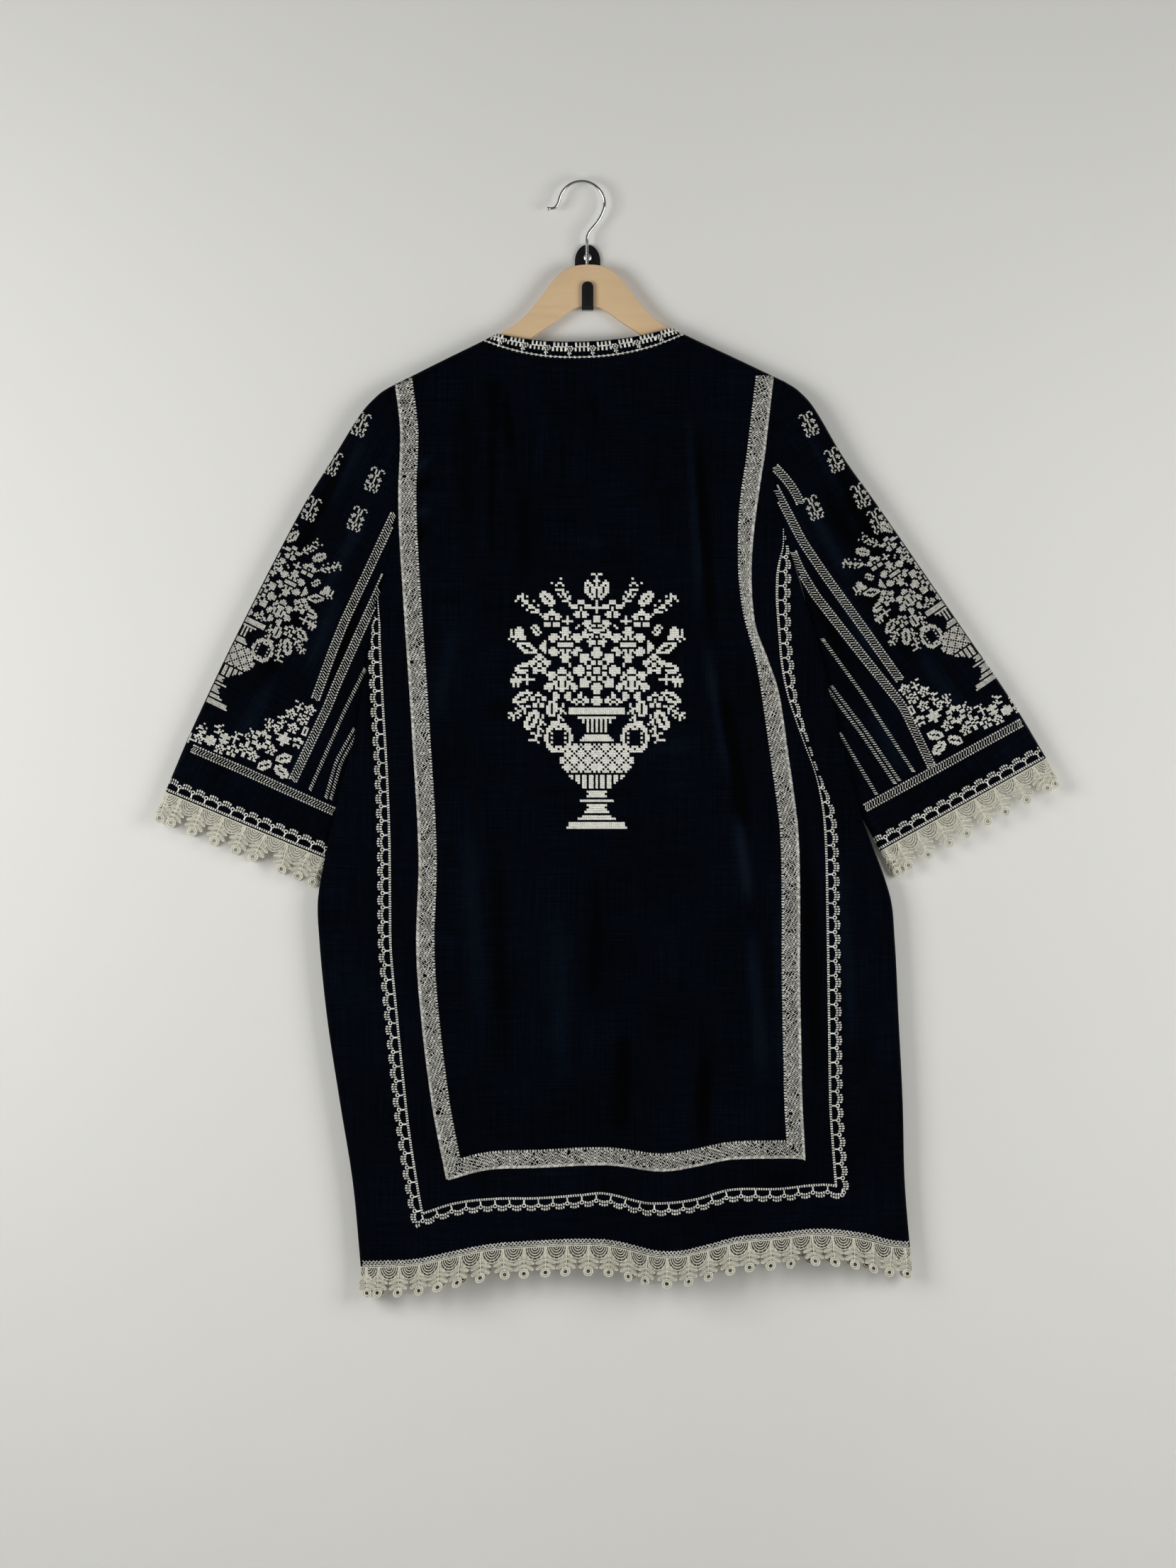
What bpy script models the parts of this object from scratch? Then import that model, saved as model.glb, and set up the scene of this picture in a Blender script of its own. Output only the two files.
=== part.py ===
"""A navy kurti stitched in ivory, on a wooden hanger that hangs from a wall hook.

It hangs back outwards and almost flat against the wall.  X runs to the right along the wall,
+Y into the wall and Z up.  The origin is the middle of the hook plate's back, on the wall.

Sizes are in millimetres, and new_piece() turns them into metres.  A drop is a distance down
from the origin and a depth is a distance out from the wall, so a point at drop and depth has
Z = -drop and Y = -depth.
"""

from collections import namedtuple
from math import cos, exp, hypot, pi, radians, sin, sqrt

import bpy
import bmesh
import numpy as np

MM = 0.001

CLOTH = 1.4             # wall of the linen cloth, and of the neckband
LACE = 1.2              # wall of the lace edging
SEAM = 0.3              # gap between two pieces that are sewn together
REST = 0.8              # gap between the cloth and the wood that it rests on

SHOULDER_LEFT = -193.6  # where the shoulder line meets the left armhole
SHOULDER_RIGHT = 192.0
UNDERARM_LEFT = 308.0   # drop of the left underarm
UNDERARM_RIGHT = 278.0
SHOULDER_ROLL = 8.0     # how far down the cloth turns over the top of the hanger
SIDE_ROLL = 5.0         # how far in the cloth turns round a side seam
SIDE_HALF = 3.2         # half the garment's thickness beside a side seam
SIDE_FILL = 90.0        # distance from a side seam to the full thickness

NECK_LEFT = -104.3      # neck seam on the left shoulder
NECK_RIGHT = 96.7
COLLAR_LEFT = -90.0     # free edge of the neckband on the left shoulder
COLLAR_RIGHT = 83.5
BACK_NECK_SAG = 21.4    # how far the back neck seam dips between the shoulders
BACK_COLLAR_SAG = 11.0
FRONT_NECK_SAG = 168.0  # the front has a rounded V neck
FRONT_COLLAR_SAG = 150.0
BACK_NECK_POWER = 2.2
FRONT_NECK_POWER = 1.25

HANGER_WOOD = 11.0      # thickness of the wood
HANGER_DEPTH = 11.0     # depth of the middle of the wood
HANGER_EDGE = 4.5       # rounding of its edges
HANGER_TILT = 0.0129    # it hangs a little low on the left
CROOK_X = -5.8          # centre of the wire hook's crook
CROOK_Z = 73.0
CROOK_RADIUS = 22.5
TIP_SWELL = 1.45        # the wire's capped end, in wire radii

Hanger = namedtuple("Hanger", "x top under")
HANGER = [
    Hanger(0, -12.5, 28), Hanger(6, -12.5, 28.1), Hanger(16, -12.2, 31.5), Hanger(23, -8, 36.5),
    Hanger(32, 0, 43), Hanger(44, 16, 51), Hanger(56, 31, 59), Hanger(66, 41, 65),
    Hanger(79, 50, 72), Hanger(104, 63, 85), Hanger(127, 74, 96.5), Hanger(150, 85, 107),
    Hanger(172, 95.8, 118), Hanger(193.6, 106.3, 129.5),
]
# The rounded end of an arm, from its top edge to its under edge.
TipPoint = namedtuple("TipPoint", "x drop")
HANGER_TIP = [
    TipPoint(200, 110.9), TipPoint(205, 115.4), TipPoint(209, 121), TipPoint(210.2, 126.5),
    TipPoint(207.5, 131.4), TipPoint(201, 132.6),
]

# The garment's two side edges, and the folds of the armholes above them.
Side = namedtuple("Side", "drop left right")
SIDES = [
    Side(278, -203, 202), Side(308, -207, 211), Side(360, -214, 226), Side(441, -227, 246),
    Side(521, -247, 266.5), Side(606, -264.7, 297), Side(650, -264, 302), Side(730, -256, 306),
    Side(812, -243.5, 310), Side(890, -231, 312), Side(975, -223, 319),
]
Armhole = namedtuple("Armhole", "part left right")
ARMHOLES = [
    Armhole(0, SHOULDER_LEFT, SHOULDER_RIGHT), Armhole(0.045, SHOULDER_LEFT + 0.3, SHOULDER_RIGHT - 0.3),
    Armhole(0.12, -189, 186), Armhole(0.25, -186.5, 181.5), Armhole(0.45, -186, 181),
    Armhole(0.7, -191, 187), Armhole(0.9, -198, 196), Armhole(1, -207, 202),
]
Hem = namedtuple("Hem", "x drop")
HEM = [
    Hem(-223, 975), Hem(-173, 972), Hem(-132, 963.5), Hem(-90, 956), Hem(-48, 953), Hem(-6.5, 951.6),
    Hem(19, 953), Hem(45, 958), Hem(66, 962), Hem(90, 962), Hem(117, 957), Hem(149, 949),
    Hem(192, 945), Hem(235, 942), Hem(267, 945.5), Hem(298.5, 954), Hem(319, 956),
]

# Depth of the garment's back and front at its middle, from the shoulders to the hem.
Hang = namedtuple("Hang", "drop back front")
HANG = [
    Hang(40, 20.5, 2.6), Hang(110, 21.5, 2.8), Hang(200, 25, 3.2), Hang(300, 29, 3.6),
    Hang(360, 31, 4), Hang(500, 33, 4.5), Hang(700, 34, 4.5), Hang(980, 34, 5),
]

# Folds of the back panel: a rise is how far out of the cloth it stands, and a negative one
# is a hollow.  Each starts at a drop and runs to the hem.
Fold = namedtuple("Fold", "start x_start x_hem left right rise_start rise_hem")
FOLDS = [
    Fold(80, 98, 180, 70, 26, 9, 8),
    Fold(120, 136, 214, 18, 20, -4, -5),
    Fold(560, 72, 84, 30, 30, 2, 18),
    Fold(560, 36, 34, 20, 20, -2, -7),
    Fold(120, -70, -60, 50, 60, 5, 6),
    Fold(360, -185, -150, 28, 28, 4, 9),
    Fold(330, 190, 262, 24, 26, 6, 8),
]
FRONT_FOLDS = [
    Fold(330, -90, -110, 45, 45, 1, 2),
    Fold(330, 20, 40, 45, 45, 1, 1.5),
    Fold(330, 140, 170, 45, 45, 1, 2),
]

# The upper, outer fold of each sleeve from the shoulder, part 0, to the cuff, part 1.
OuterFold = namedtuple("OuterFold", "part left_x left_drop right_x right_drop")
OUTER_FOLDS = [
    OuterFold(0, SHOULDER_LEFT, 106.6, SHOULDER_RIGHT, 100.8), OuterFold(0.03, -205, 114, 206, 109.5),
    OuterFold(0.083, -222, 132, 222, 126.5), OuterFold(0.2, -251, 178, 251, 175),
    OuterFold(0.33, -282, 228, 283, 220), OuterFold(0.64, -347, 354, 363, 336),
    OuterFold(0.858, -390, 445, 419, 418), OuterFold(1, -415.6, 505, 451.6, 472.2),
]
CUFF_INNER_LEFT = 572.6     # drop of each cuff's inner corner
CUFF_INNER_RIGHT = 564.0
SLEEVE_BACK = 20.0          # depth of a sleeve's back at its middle
CUFF_BACK = 18.0
SLEEVE_FRONT = 3.0
OUTER_FOLD_DEPTH = 9.0
INNER_FOLD_DEPTH = 7.5
SLEEVE_ROLL = 7.0
BODY_SEAM_TOP = 13.0        # depth of a side seam at the underarm
BODY_SEAM = 16.0            # and further down, where it lies over the sleeve's inner fold
SEAM_SETTLE = 55.0          # distance below the underarm at which it gets there
SLEEVE_TUCK = 4.0           # how far a sleeve's inner fold lies behind the body
SLEEVE_APART = 1.0          # and how far beside it, close below the underarm
APART_BY = 12.0             # distances below the underarm at which it comes apart,
TUCK_FROM = 35.0            # starts to slip behind the body
TUCK_BY = 60.0              # and is tucked in
RIGHT_CUFF_SHOWS = 5.0      # how far the right cuff's corner comes out beside the body
RIGHT_CUFF_FROM = 500.0     # drop at which it starts to
CAP = 0.2                   # part of a sleeve over which it keeps the armhole's depth
OUTER_FOLD_SETTLE = 0.3     # part at which its outer fold reaches its own depth
FOLD_ONSET = 0.2            # part of a body fold's length over which it rises

# The lower edge of one repeat of the lace, from the middle of one fan to the next.
LaceEdge = namedtuple("LaceEdge", "part length")
LACE_EDGE = [
    LaceEdge(0, 14.4), LaceEdge(0.14, 23), LaceEdge(0.33, 30.5), LaceEdge(0.67, 30.5),
    LaceEdge(0.86, 23),
]
LACE_REPEAT = 24.5
LACE_TRIM = 0.4             # the lace stops this far from each end of its edge

# Where the solids are sampled.
ARMHOLE_HEIGHT = 188.0      # height of the armholes
ARMHOLE_STEPS = 5           # steps down an armhole between its two rounded ends
BESIDE_NECK = (1.0, 3.5, 10.0)      # extra columns, this far inwards from each end of the neck seam
BELOW_UNDERARM = (0.04, 0.09)       # extra rows, where the side seams move over the sleeves
SLEEVE_PARTS = (0, 0.03, 0.083, 0.14, 0.2, 0.29, 0.38, 0.48, 0.58, 0.68, 0.79, 0.9, 1)

PLATE_WIDTH = 25.5
PLATE_TOP = 34.0
PLATE_FOOT = -34.0
PLATE_THICK = 3.0
ARM_WIDTH = 11.6
ARM_THICK = 3.0
PRONG_TOP = -4.0
BAR_BEND = 2.0
BAR_EDGE = 1.0
SCREW_Z = 21.0
SCREW_RADIUS = 4.0
SCREW_HEIGHT = 2.0
SCREW_SIDE = 0.8
SCREW_DOME = 0.7
SCREW_SIDES = 12
WIRE = 3.0

NAVY = (0.006, 0.009, 0.018)
ECRU = (0.62, 0.58, 0.47)
BEECH = (0.60, 0.43, 0.25)
BLACK = (0.012, 0.012, 0.013)
CHROME = (0.75, 0.75, 0.76)


def clear_scene():
    for thing in list(bpy.data.objects):
        bpy.data.objects.remove(thing, do_unlink=True)


def between(start, end, part):
    return start + (end - start) * part


def ease(part):
    part = min(max(part, 0.0), 1.0)
    return part * part * (3 - 2 * part)


def fill(part):
    """Rises steeply from 0 and settles at 1, as thickness does away from a seam."""
    part = min(max(part, 0.0), 1.0)
    return 1 - (1 - part) ** 2


def turn(distance, roll):
    """A quarter round: 0 at a folded edge and 1 at the roll's distance from it."""
    inset = 1 - min(max(distance / roll, 0.0), 1.0)
    return sqrt(1 - inset * inset)


def read(table, column, key):
    """A column of a table at any key, on a smooth curve through its rows."""
    keys = [row[0] for row in table]
    values = [getattr(row, column) for row in table]
    key = min(max(key, keys[0]), keys[-1])
    place = 0
    while place < len(keys) - 2 and key > keys[place + 1]:
        place += 1
    slopes = []
    for spot in (place, place + 1):
        low = max(spot - 1, 0)
        high = min(spot + 1, len(keys) - 1)
        slopes.append((values[high] - values[low]) / (keys[high] - keys[low]))
    step = keys[place + 1] - keys[place]
    part = (key - keys[place]) / step
    bend = ease(part)
    rise = part * (1 - part)
    straight = between(values[place], values[place + 1], bend)
    return straight + step * rise * ((1 - part) * slopes[0] - part * slopes[1])


def shoulder_line(x):
    """Drop of the cloth's top edge, which lies on the hanger."""
    return read(HANGER, "top", abs(x)) - HANGER_TILT * x - CLOTH - REST


def underarm(side):
    return UNDERARM_LEFT if side == "left" else UNDERARM_RIGHT


def outward(side):
    return -1 if side == "left" else 1


def shoulder_x(side):
    return SHOULDER_LEFT if side == "left" else SHOULDER_RIGHT


def edge_x(side, drop):
    """X of the body's edge: the armhole seam above the underarm, the side seam below it."""
    top = shoulder_line(shoulder_x(side))
    if drop < underarm(side):
        return read(ARMHOLES, side, (drop - top) / (underarm(side) - top))
    return read(SIDES, side, drop)


def from_side_seam(side, x, drop):
    """Distance from the side seam, or from its upper end for a point above the underarm."""
    if drop >= underarm(side):
        return abs(x - edge_x(side, drop))
    return hypot(x - edge_x(side, underarm(side)), drop - underarm(side))


def seam_depth(side, drop):
    """Depth of the line where front and back meet: the shoulder, then the side seam."""
    top = shoulder_line(shoulder_x(side))
    if drop < underarm(side):
        return between(HANGER_DEPTH, BODY_SEAM_TOP, ease((drop - top) / (underarm(side) - top)))
    return between(BODY_SEAM_TOP, BODY_SEAM, ease((drop - underarm(side)) / SEAM_SETTLE))


def fold_rise(folds, x, drop):
    total = 0.0
    for fold in folds:
        part = (drop - fold.start) / (HEM[0].drop - fold.start)
        if part <= 0:
            continue
        offset = x - between(fold.x_start, fold.x_hem, part)
        width = fold.left if offset < 0 else fold.right
        rise = between(fold.rise_start, fold.rise_hem, part) * ease(part / FOLD_ONSET)
        total += rise * exp(-(offset / width) ** 2)
    return total


def body_depth(face, x, drop):
    """Depth of the outer surface of the back panel or of the front panel."""
    side = "left" if x < 0 else "right"
    middle = seam_depth(side, drop)
    inset = min(from_side_seam("left", x, drop), from_side_seam("right", x, drop))
    if face == "back":
        full = read(HANG, "back", drop) + fold_rise(FOLDS, x, drop)
        gap = SEAM / 2
        beside_seam = middle + SIDE_HALF
    else:
        full = read(HANG, "front", drop) + fold_rise(FRONT_FOLDS, x, drop)
        gap = -SEAM / 2
        beside_seam = middle - SIDE_HALF
    target = between(beside_seam, full, fill(inset / SIDE_FILL))
    rounding = turn(drop - shoulder_line(x), SHOULDER_ROLL) * turn(inset, SIDE_ROLL)
    return middle + gap + (target - middle) * rounding


def neck_curve(left, right, sag, power, part):
    """A point, as x and drop, of a neck edge that runs from shoulder to shoulder."""
    ends = between(shoulder_line(left), shoulder_line(right), part)
    return between(left, right, part), ends + sag * (1 - abs(2 * part - 1) ** power)


def panel_top(face, x):
    """Drop of a panel's top edge: the shoulder, then the neck seam between the shoulders."""
    if x <= NECK_LEFT or x >= NECK_RIGHT:
        return shoulder_line(x)
    part = (x - NECK_LEFT) / (NECK_RIGHT - NECK_LEFT)
    if face == "back":
        return neck_curve(NECK_LEFT, NECK_RIGHT, BACK_NECK_SAG, BACK_NECK_POWER, part)[1]
    return neck_curve(NECK_LEFT, NECK_RIGHT, FRONT_NECK_SAG, FRONT_NECK_POWER, part)[1]


def panel_point(face, part, row):
    """A point of a panel: part runs across it, row from 0 at the top to 1 at the underarms
    and 2 at the hem."""
    x_top = between(SHOULDER_LEFT, SHOULDER_RIGHT, part)
    top = panel_top(face, x_top)
    under = between(UNDERARM_LEFT, UNDERARM_RIGHT, part)
    x_hem = between(HEM[0].x, HEM[-1].x, part)
    hem = read(HEM, "drop", x_hem)
    if row <= 1:
        drop = between(top, under, row)
        left = between(shoulder_line(SHOULDER_LEFT), UNDERARM_LEFT, row)
        right = between(shoulder_line(SHOULDER_RIGHT), UNDERARM_RIGHT, row)
    else:
        drop = between(under, hem, row - 1)
        left = between(UNDERARM_LEFT, HEM[0].drop, row - 1)
        right = between(UNDERARM_RIGHT, HEM[-1].drop, row - 1)
    x_left = read(ARMHOLES, "left", row) if row <= 1 else edge_x("left", left)
    x_right = read(ARMHOLES, "right", row) if row <= 1 else edge_x("right", right)
    x = between(x_left, x_right, part)
    return np.array([x, -body_depth(face, x, drop), -drop])


def outer_fold(side, part):
    return read(OUTER_FOLDS, side + "_x", part), read(OUTER_FOLDS, side + "_drop", part)


def inner_fold(side, part):
    """The sleeve's lower, inner fold, which slips behind the body's side seam."""
    end = CUFF_INNER_LEFT if side == "left" else CUFF_INNER_RIGHT
    drop = between(underarm(side), end, part)
    below = drop - underarm(side)
    beside = between(SEAM, SLEEVE_APART, ease(below / APART_BY))
    apart = between(beside, -SLEEVE_TUCK, ease((below - TUCK_FROM) / (TUCK_BY - TUCK_FROM)))
    if side == "right":
        near_cuff = ease((drop - RIGHT_CUFF_FROM) / (end - RIGHT_CUFF_FROM))
        apart = between(apart, RIGHT_CUFF_SHOWS, near_cuff)
    return edge_x(side, drop) + outward(side) * apart, drop


def sleeve_point(side, face, part, across):
    """A point of a sleeve: part runs from the armhole to the cuff, and across from its outer
    fold to its inner fold, on its back or its front."""
    outer_x, outer_drop = outer_fold(side, part)
    inner_x, inner_drop = inner_fold(side, part)
    x = between(outer_x, inner_x, across)
    drop = between(outer_drop, inner_drop, across)
    arm_drop = between(shoulder_line(shoulder_x(side)), underarm(side), across)
    arm_x = read(ARMHOLES, side, across)
    chord = between(shoulder_x(side), edge_x(side, underarm(side)), across)
    x += (arm_x - chord + outward(side) * SEAM) * (1 - part) ** 3
    width = hypot(outer_x - inner_x, outer_drop - inner_drop)

    settled = ease((inner_drop - underarm(side)) / SEAM_SETTLE)
    inner_middle = between(BODY_SEAM_TOP, INNER_FOLD_DEPTH, settled)
    outer_middle = between(HANGER_DEPTH, OUTER_FOLD_DEPTH, ease(part / OUTER_FOLD_SETTLE))
    middle = between(outer_middle, inner_middle, across)
    thick = SIDE_HALF if face == "back" else -SIDE_HALF
    full = between(SLEEVE_BACK, CUFF_BACK, part) if face == "back" else SLEEVE_FRONT
    from_inner = (1 - across) * width
    target = between(middle + thick, full, fill(from_inner / SIDE_FILL))
    rounding = turn(across * width, SLEEVE_ROLL) * turn(from_inner, SIDE_ROLL)
    depth = middle + (target - middle) * rounding

    gap = SEAM / 2 if face == "back" else -SEAM / 2
    at_armhole = body_depth(face, arm_x, arm_drop) - gap
    depth = between(at_armhole, depth, ease(part / CAP))
    return np.array([x, -depth, -drop])


def unit(vector):
    return vector / np.linalg.norm(vector)


def surface_normal(surface, first, second, last):
    """Outward normal of a surface given by two parameters that run from 0 to `last`."""
    step = 1e-6
    tangents = []
    for axis in (0, 1):
        values = [first, second]
        low = list(values)
        high = list(values)
        low[axis] = max(values[axis] - step, 0)
        high[axis] = min(values[axis] + step, last[axis])
        tangents.append(surface(*high) - surface(*low))
    return unit(np.cross(tangents[0], tangents[1])), tangents


def armhole_normal(normal, along):
    """The normal at an armhole seam, alike on both pieces: it has no part across the seam."""
    square = unit(np.array([0.0, along[2], -along[1]]))
    return square if square.dot(normal) > 0 else -square


def new_piece(name, vertices, faces, material):
    """Makes a closed solid from points in millimetres, with its faces pointing outwards."""
    mesh = bpy.data.meshes.new(name)
    mesh.from_pydata([tuple(point * MM) for point in vertices], [], faces)
    shape = bmesh.new()
    shape.from_mesh(mesh)
    bmesh.ops.recalc_face_normals(shape, faces=shape.faces)
    shape.to_mesh(mesh)
    shape.free()
    mesh.materials.append(material)
    piece = bpy.data.objects.new(name, mesh)
    bpy.context.collection.objects.link(piece)
    return piece


def wall(name, rows, normals, thickness, material, is_tube=False):
    """Closes a grid of outer points into a wall, thickened along the inward normals."""
    height = len(rows)
    width = len(rows[0])
    outer = [point for row in rows for point in row]
    inner = []
    for row, directions in zip(rows, normals):
        for point, direction in zip(row, directions):
            inner.append(point - direction * thickness)
    count = len(outer)
    faces = []
    spans = width if is_tube else width - 1
    for row in range(height - 1):
        for place in range(spans):
            here = row * width + place
            beside = row * width + (place + 1) % width
            faces.append((here, beside, beside + width, here + width))
            faces.append((here + count, here + width + count, beside + width + count, beside + count))
    for row in (0, height - 1):
        for place in range(spans):
            here = row * width + place
            beside = row * width + (place + 1) % width
            faces.append((here, beside, beside + count, here + count))
    if not is_tube:
        for place in (0, width - 1):
            for row in range(height - 1):
                here = row * width + place
                faces.append((here, here + width, here + width + count, here + count))
    return new_piece(name, outer + inner, faces, material)


def roll_steps(roll, length):
    """Parts of a length at which a rounded edge is sampled, from its end inwards."""
    return [roll * (1 - cos(radians(angle))) / length for angle in (0, 40, 90)]


def armhole_rows():
    """Rows from the shoulder to the underarm, shared by the panels and the sleeves."""
    over_shoulder = roll_steps(SHOULDER_ROLL, ARMHOLE_HEIGHT)
    at_underarm = [1 - part for part in reversed(roll_steps(SIDE_ROLL, ARMHOLE_HEIGHT))]
    middle = []
    for step in range(1, ARMHOLE_STEPS):
        middle.append(between(over_shoulder[-1], at_underarm[0], step / ARMHOLE_STEPS))
    return over_shoulder + middle + at_underarm


def panel_columns(steps_beside_neck, steps_in_neck):
    """Columns of a panel, with one at each end of the neck seam and more beside them."""
    width = SHOULDER_RIGHT - SHOULDER_LEFT
    edge = roll_steps(SIDE_ROLL, width)
    neck = [(NECK_LEFT - SHOULDER_LEFT) / width, (NECK_RIGHT - SHOULDER_LEFT) / width]
    turned = [distance / width for distance in BESIDE_NECK]
    columns = list(edge)
    for step in range(1, steps_beside_neck):
        columns.append(between(edge[-1], neck[0], step / steps_beside_neck))
    inside = [neck[0]] + [neck[0] + offset for offset in turned]
    last = [neck[1] - offset for offset in reversed(turned)] + [neck[1]]
    columns += inside
    for step in range(1, steps_in_neck):
        columns.append(between(inside[-1], last[0], step / steps_in_neck))
    columns += last
    for step in range(1, steps_beside_neck):
        columns.append(between(neck[1], 1 - edge[-1], step / steps_beside_neck))
    return columns + [1 - part for part in reversed(edge)]


def make_panel(face, columns, lower_rows, material):
    rows = armhole_rows() + [1 + part for part in BELOW_UNDERARM]
    for step in range(1, lower_rows + 1):
        rows.append(1 + between(BELOW_UNDERARM[-1], 1.0, step / lower_rows))
    points = []
    normals = []

    def surface(part, row):
        return panel_point(face, part, row)

    facing = 1 if face == "back" else -1
    for row in rows:
        last_row = 1 if row <= 1 else 2
        point_row = []
        normal_row = []
        for part in columns:
            point_row.append(surface(part, row))
            normal, tangents = surface_normal(surface, part, row, (1, last_row))
            normal = -normal * facing
            at_edge = part in (columns[0], columns[-1])
            if at_edge and row <= 1:
                normal = armhole_normal(normal, tangents[1])
            normal_row.append(normal)
        points.append(point_row)
        normals.append(normal_row)
    wall(face + "_panel", points, normals, CLOTH, material)
    return points[-1], normals[-1]


def make_sleeve(side, material):
    across_steps = armhole_rows()
    points = []
    normals = []
    ring = [("back", step) for step in across_steps]
    ring += [("front", step) for step in reversed(across_steps[1:-1])]
    for part in SLEEVE_PARTS:
        point_row = []
        normal_row = []
        for face, across in ring:

            def surface(first, second):
                return sleeve_point(side, face, first, second)

            point_row.append(surface(part, across))
            normal, tangents = surface_normal(surface, part, across, (1, 1))
            facing = 1 if (face == "back") == (side == "left") else -1
            normal = normal * facing
            if part == 0:
                normal = armhole_normal(normal, tangents[1])
            normal_row.append(normal)
        points.append(point_row)
        normals.append(normal_row)
    wall("sleeve_" + side, points, normals, CLOTH, material, is_tube=True)
    half = len(across_steps)
    back = points[-1][:half], normals[-1][:half]
    front = points[-1][half - 1:] + points[-1][:1], normals[-1][half - 1:] + normals[-1][:1]
    return {"back": back, "front": front}


def collar_point(face, part, height):
    """A point of the neckband, from its seam at height 0 to its free edge at height 1."""
    if face == "back":
        seam = neck_curve(NECK_LEFT, NECK_RIGHT, BACK_NECK_SAG, BACK_NECK_POWER, part)
        edge = neck_curve(COLLAR_LEFT, COLLAR_RIGHT, BACK_COLLAR_SAG, BACK_NECK_POWER, part)
    else:
        seam = neck_curve(NECK_LEFT, NECK_RIGHT, FRONT_NECK_SAG, FRONT_NECK_POWER, part)
        edge = neck_curve(COLLAR_LEFT, COLLAR_RIGHT, FRONT_COLLAR_SAG, FRONT_NECK_POWER, part)
    x = between(seam[0], edge[0], height)
    drop = between(seam[1], edge[1], height)
    return np.array([x, -body_depth(face, x, drop), -drop])


def make_collar(face, columns, material):
    """The neckband stands on the neck seam, clear of the panel by the seam's gap."""
    width = SHOULDER_RIGHT - SHOULDER_LEFT
    parts = []
    for column in columns:
        x = SHOULDER_LEFT + column * width
        part = (x - NECK_LEFT) / (NECK_RIGHT - NECK_LEFT)
        if -1e-9 < part < 1 + 1e-9:
            parts.append(min(max(part, 0.0), 1.0))

    def surface(part, height):
        return collar_point(face, part, height)

    facing = 1 if face == "back" else -1
    points = []
    normals = []
    for height in (0, 1):
        point_row = []
        normal_row = []
        for part in parts:
            point = surface(part, height)
            if height == 0:
                point = point + unit(surface(part, 1) - point) * SEAM
            normal, _ = surface_normal(surface, part, height, (1, 1))
            point_row.append(point)
            normal_row.append(normal * facing)
        points.append(point_row)
        normals.append(normal_row)
    return wall("neckband_" + face, points, normals, CLOTH, material)


def make_lace(name, edge, normals, down, material):
    """Lace that hangs from an edge, made from the points and normals of that edge."""
    edge = np.array(edge)
    steps = np.linalg.norm(np.diff(edge, axis=0), axis=1)
    lengths = np.concatenate([[0.0], np.cumsum(steps)])
    length = lengths[-1] - 2 * LACE_TRIM
    repeats = round(length / LACE_REPEAT)
    stations = []
    for repeat in range(repeats):
        for row in LACE_EDGE:
            stations.append(((repeat + row.part) / repeats, row.length))
    stations.append((1.0, LACE_EDGE[0].length))
    top = []
    foot = []
    facing = []
    for part, drop in stations:
        along = LACE_TRIM + part * length
        start = np.array([np.interp(along, lengths, edge[:, axis]) for axis in range(3)])
        turned = np.array([np.interp(along, lengths, np.array(normals)[:, axis]) for axis in range(3)])
        top.append(start + down * SEAM)
        foot.append(start + down * drop)
        facing.append(unit(turned - down * turned.dot(down)))
    return wall(name, [top, foot], [facing, facing], LACE, material)


def across_cuff(cuff):
    """The direction in which a cuff's lace hangs: square to the cuff and downwards."""
    points = cuff["back"][0]
    along = points[-1] - points[0]
    down = unit(np.array([along[2], 0.0, -along[0]]))
    return -down if down[2] > 0 else down


def make_hanger(material):
    """A flat arch of wood with drooping arms, cut from a board and rounded over."""
    right = [(row.x, row.top) for row in HANGER]
    right += [(point.x, point.drop) for point in HANGER_TIP]
    right += [(row.x, row.under) for row in reversed(HANGER)]
    left = [(-x, drop) for x, drop in reversed(right[1:-1])]
    outline = [(x, drop - HANGER_TILT * x) for x, drop in right + left]
    front = HANGER_DEPTH + HANGER_WOOD / 2
    rear = HANGER_DEPTH - HANGER_WOOD / 2
    vertices = [np.array([x, -front, -drop]) for x, drop in outline]
    vertices += [np.array([x, -rear, -drop]) for x, drop in outline]
    count = len(outline)
    faces = [tuple(range(count)), tuple(range(2 * count - 1, count - 1, -1))]
    for place in range(count):
        beside = (place + 1) % count
        faces.append((place, beside, beside + count, place + count))
    hanger = new_piece("hanger", vertices, faces, material)
    rounding = hanger.modifiers.new("rounded edges", "BEVEL")
    rounding.width = HANGER_EDGE * MM
    rounding.segments = 2
    rounding.limit_method = "ANGLE"
    rounding.angle_limit = radians(60)
    return hanger


def make_hanger_hook(material):
    """Round wire: up out of the wood, over to the left, and a short kick at its tip."""
    path = [(-0.6, 12.8), (-0.6, 26), (-0.6, 40), (1.5, 45.5), (6.5, 51.5), (12, 59)]
    for angle in range(-12, 172, 15):
        x = CROOK_X + CROOK_RADIUS * cos(radians(angle))
        path.append((x, CROOK_Z + CROOK_RADIUS * sin(radians(angle))))
    path += [(-29.6, 73), (-32, 69.5), (-37.5, 68.5)]
    curve = bpy.data.curves.new("hanger_hook", "CURVE")
    curve.dimensions = "3D"
    curve.bevel_depth = WIRE / 2 * MM
    curve.bevel_resolution = 2
    curve.use_fill_caps = True
    spline = curve.splines.new("POLY")
    spline.points.add(len(path) - 1)
    for point, (x, z) in zip(spline.points, path):
        point.co = (x * MM, -HANGER_DEPTH * MM, z * MM, 1)
    spline.points[len(path) - 1].radius = TIP_SWELL
    curve.materials.append(material)
    hook = bpy.data.objects.new("hanger_hook", curve)
    bpy.context.collection.objects.link(hook)
    return hook


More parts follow.
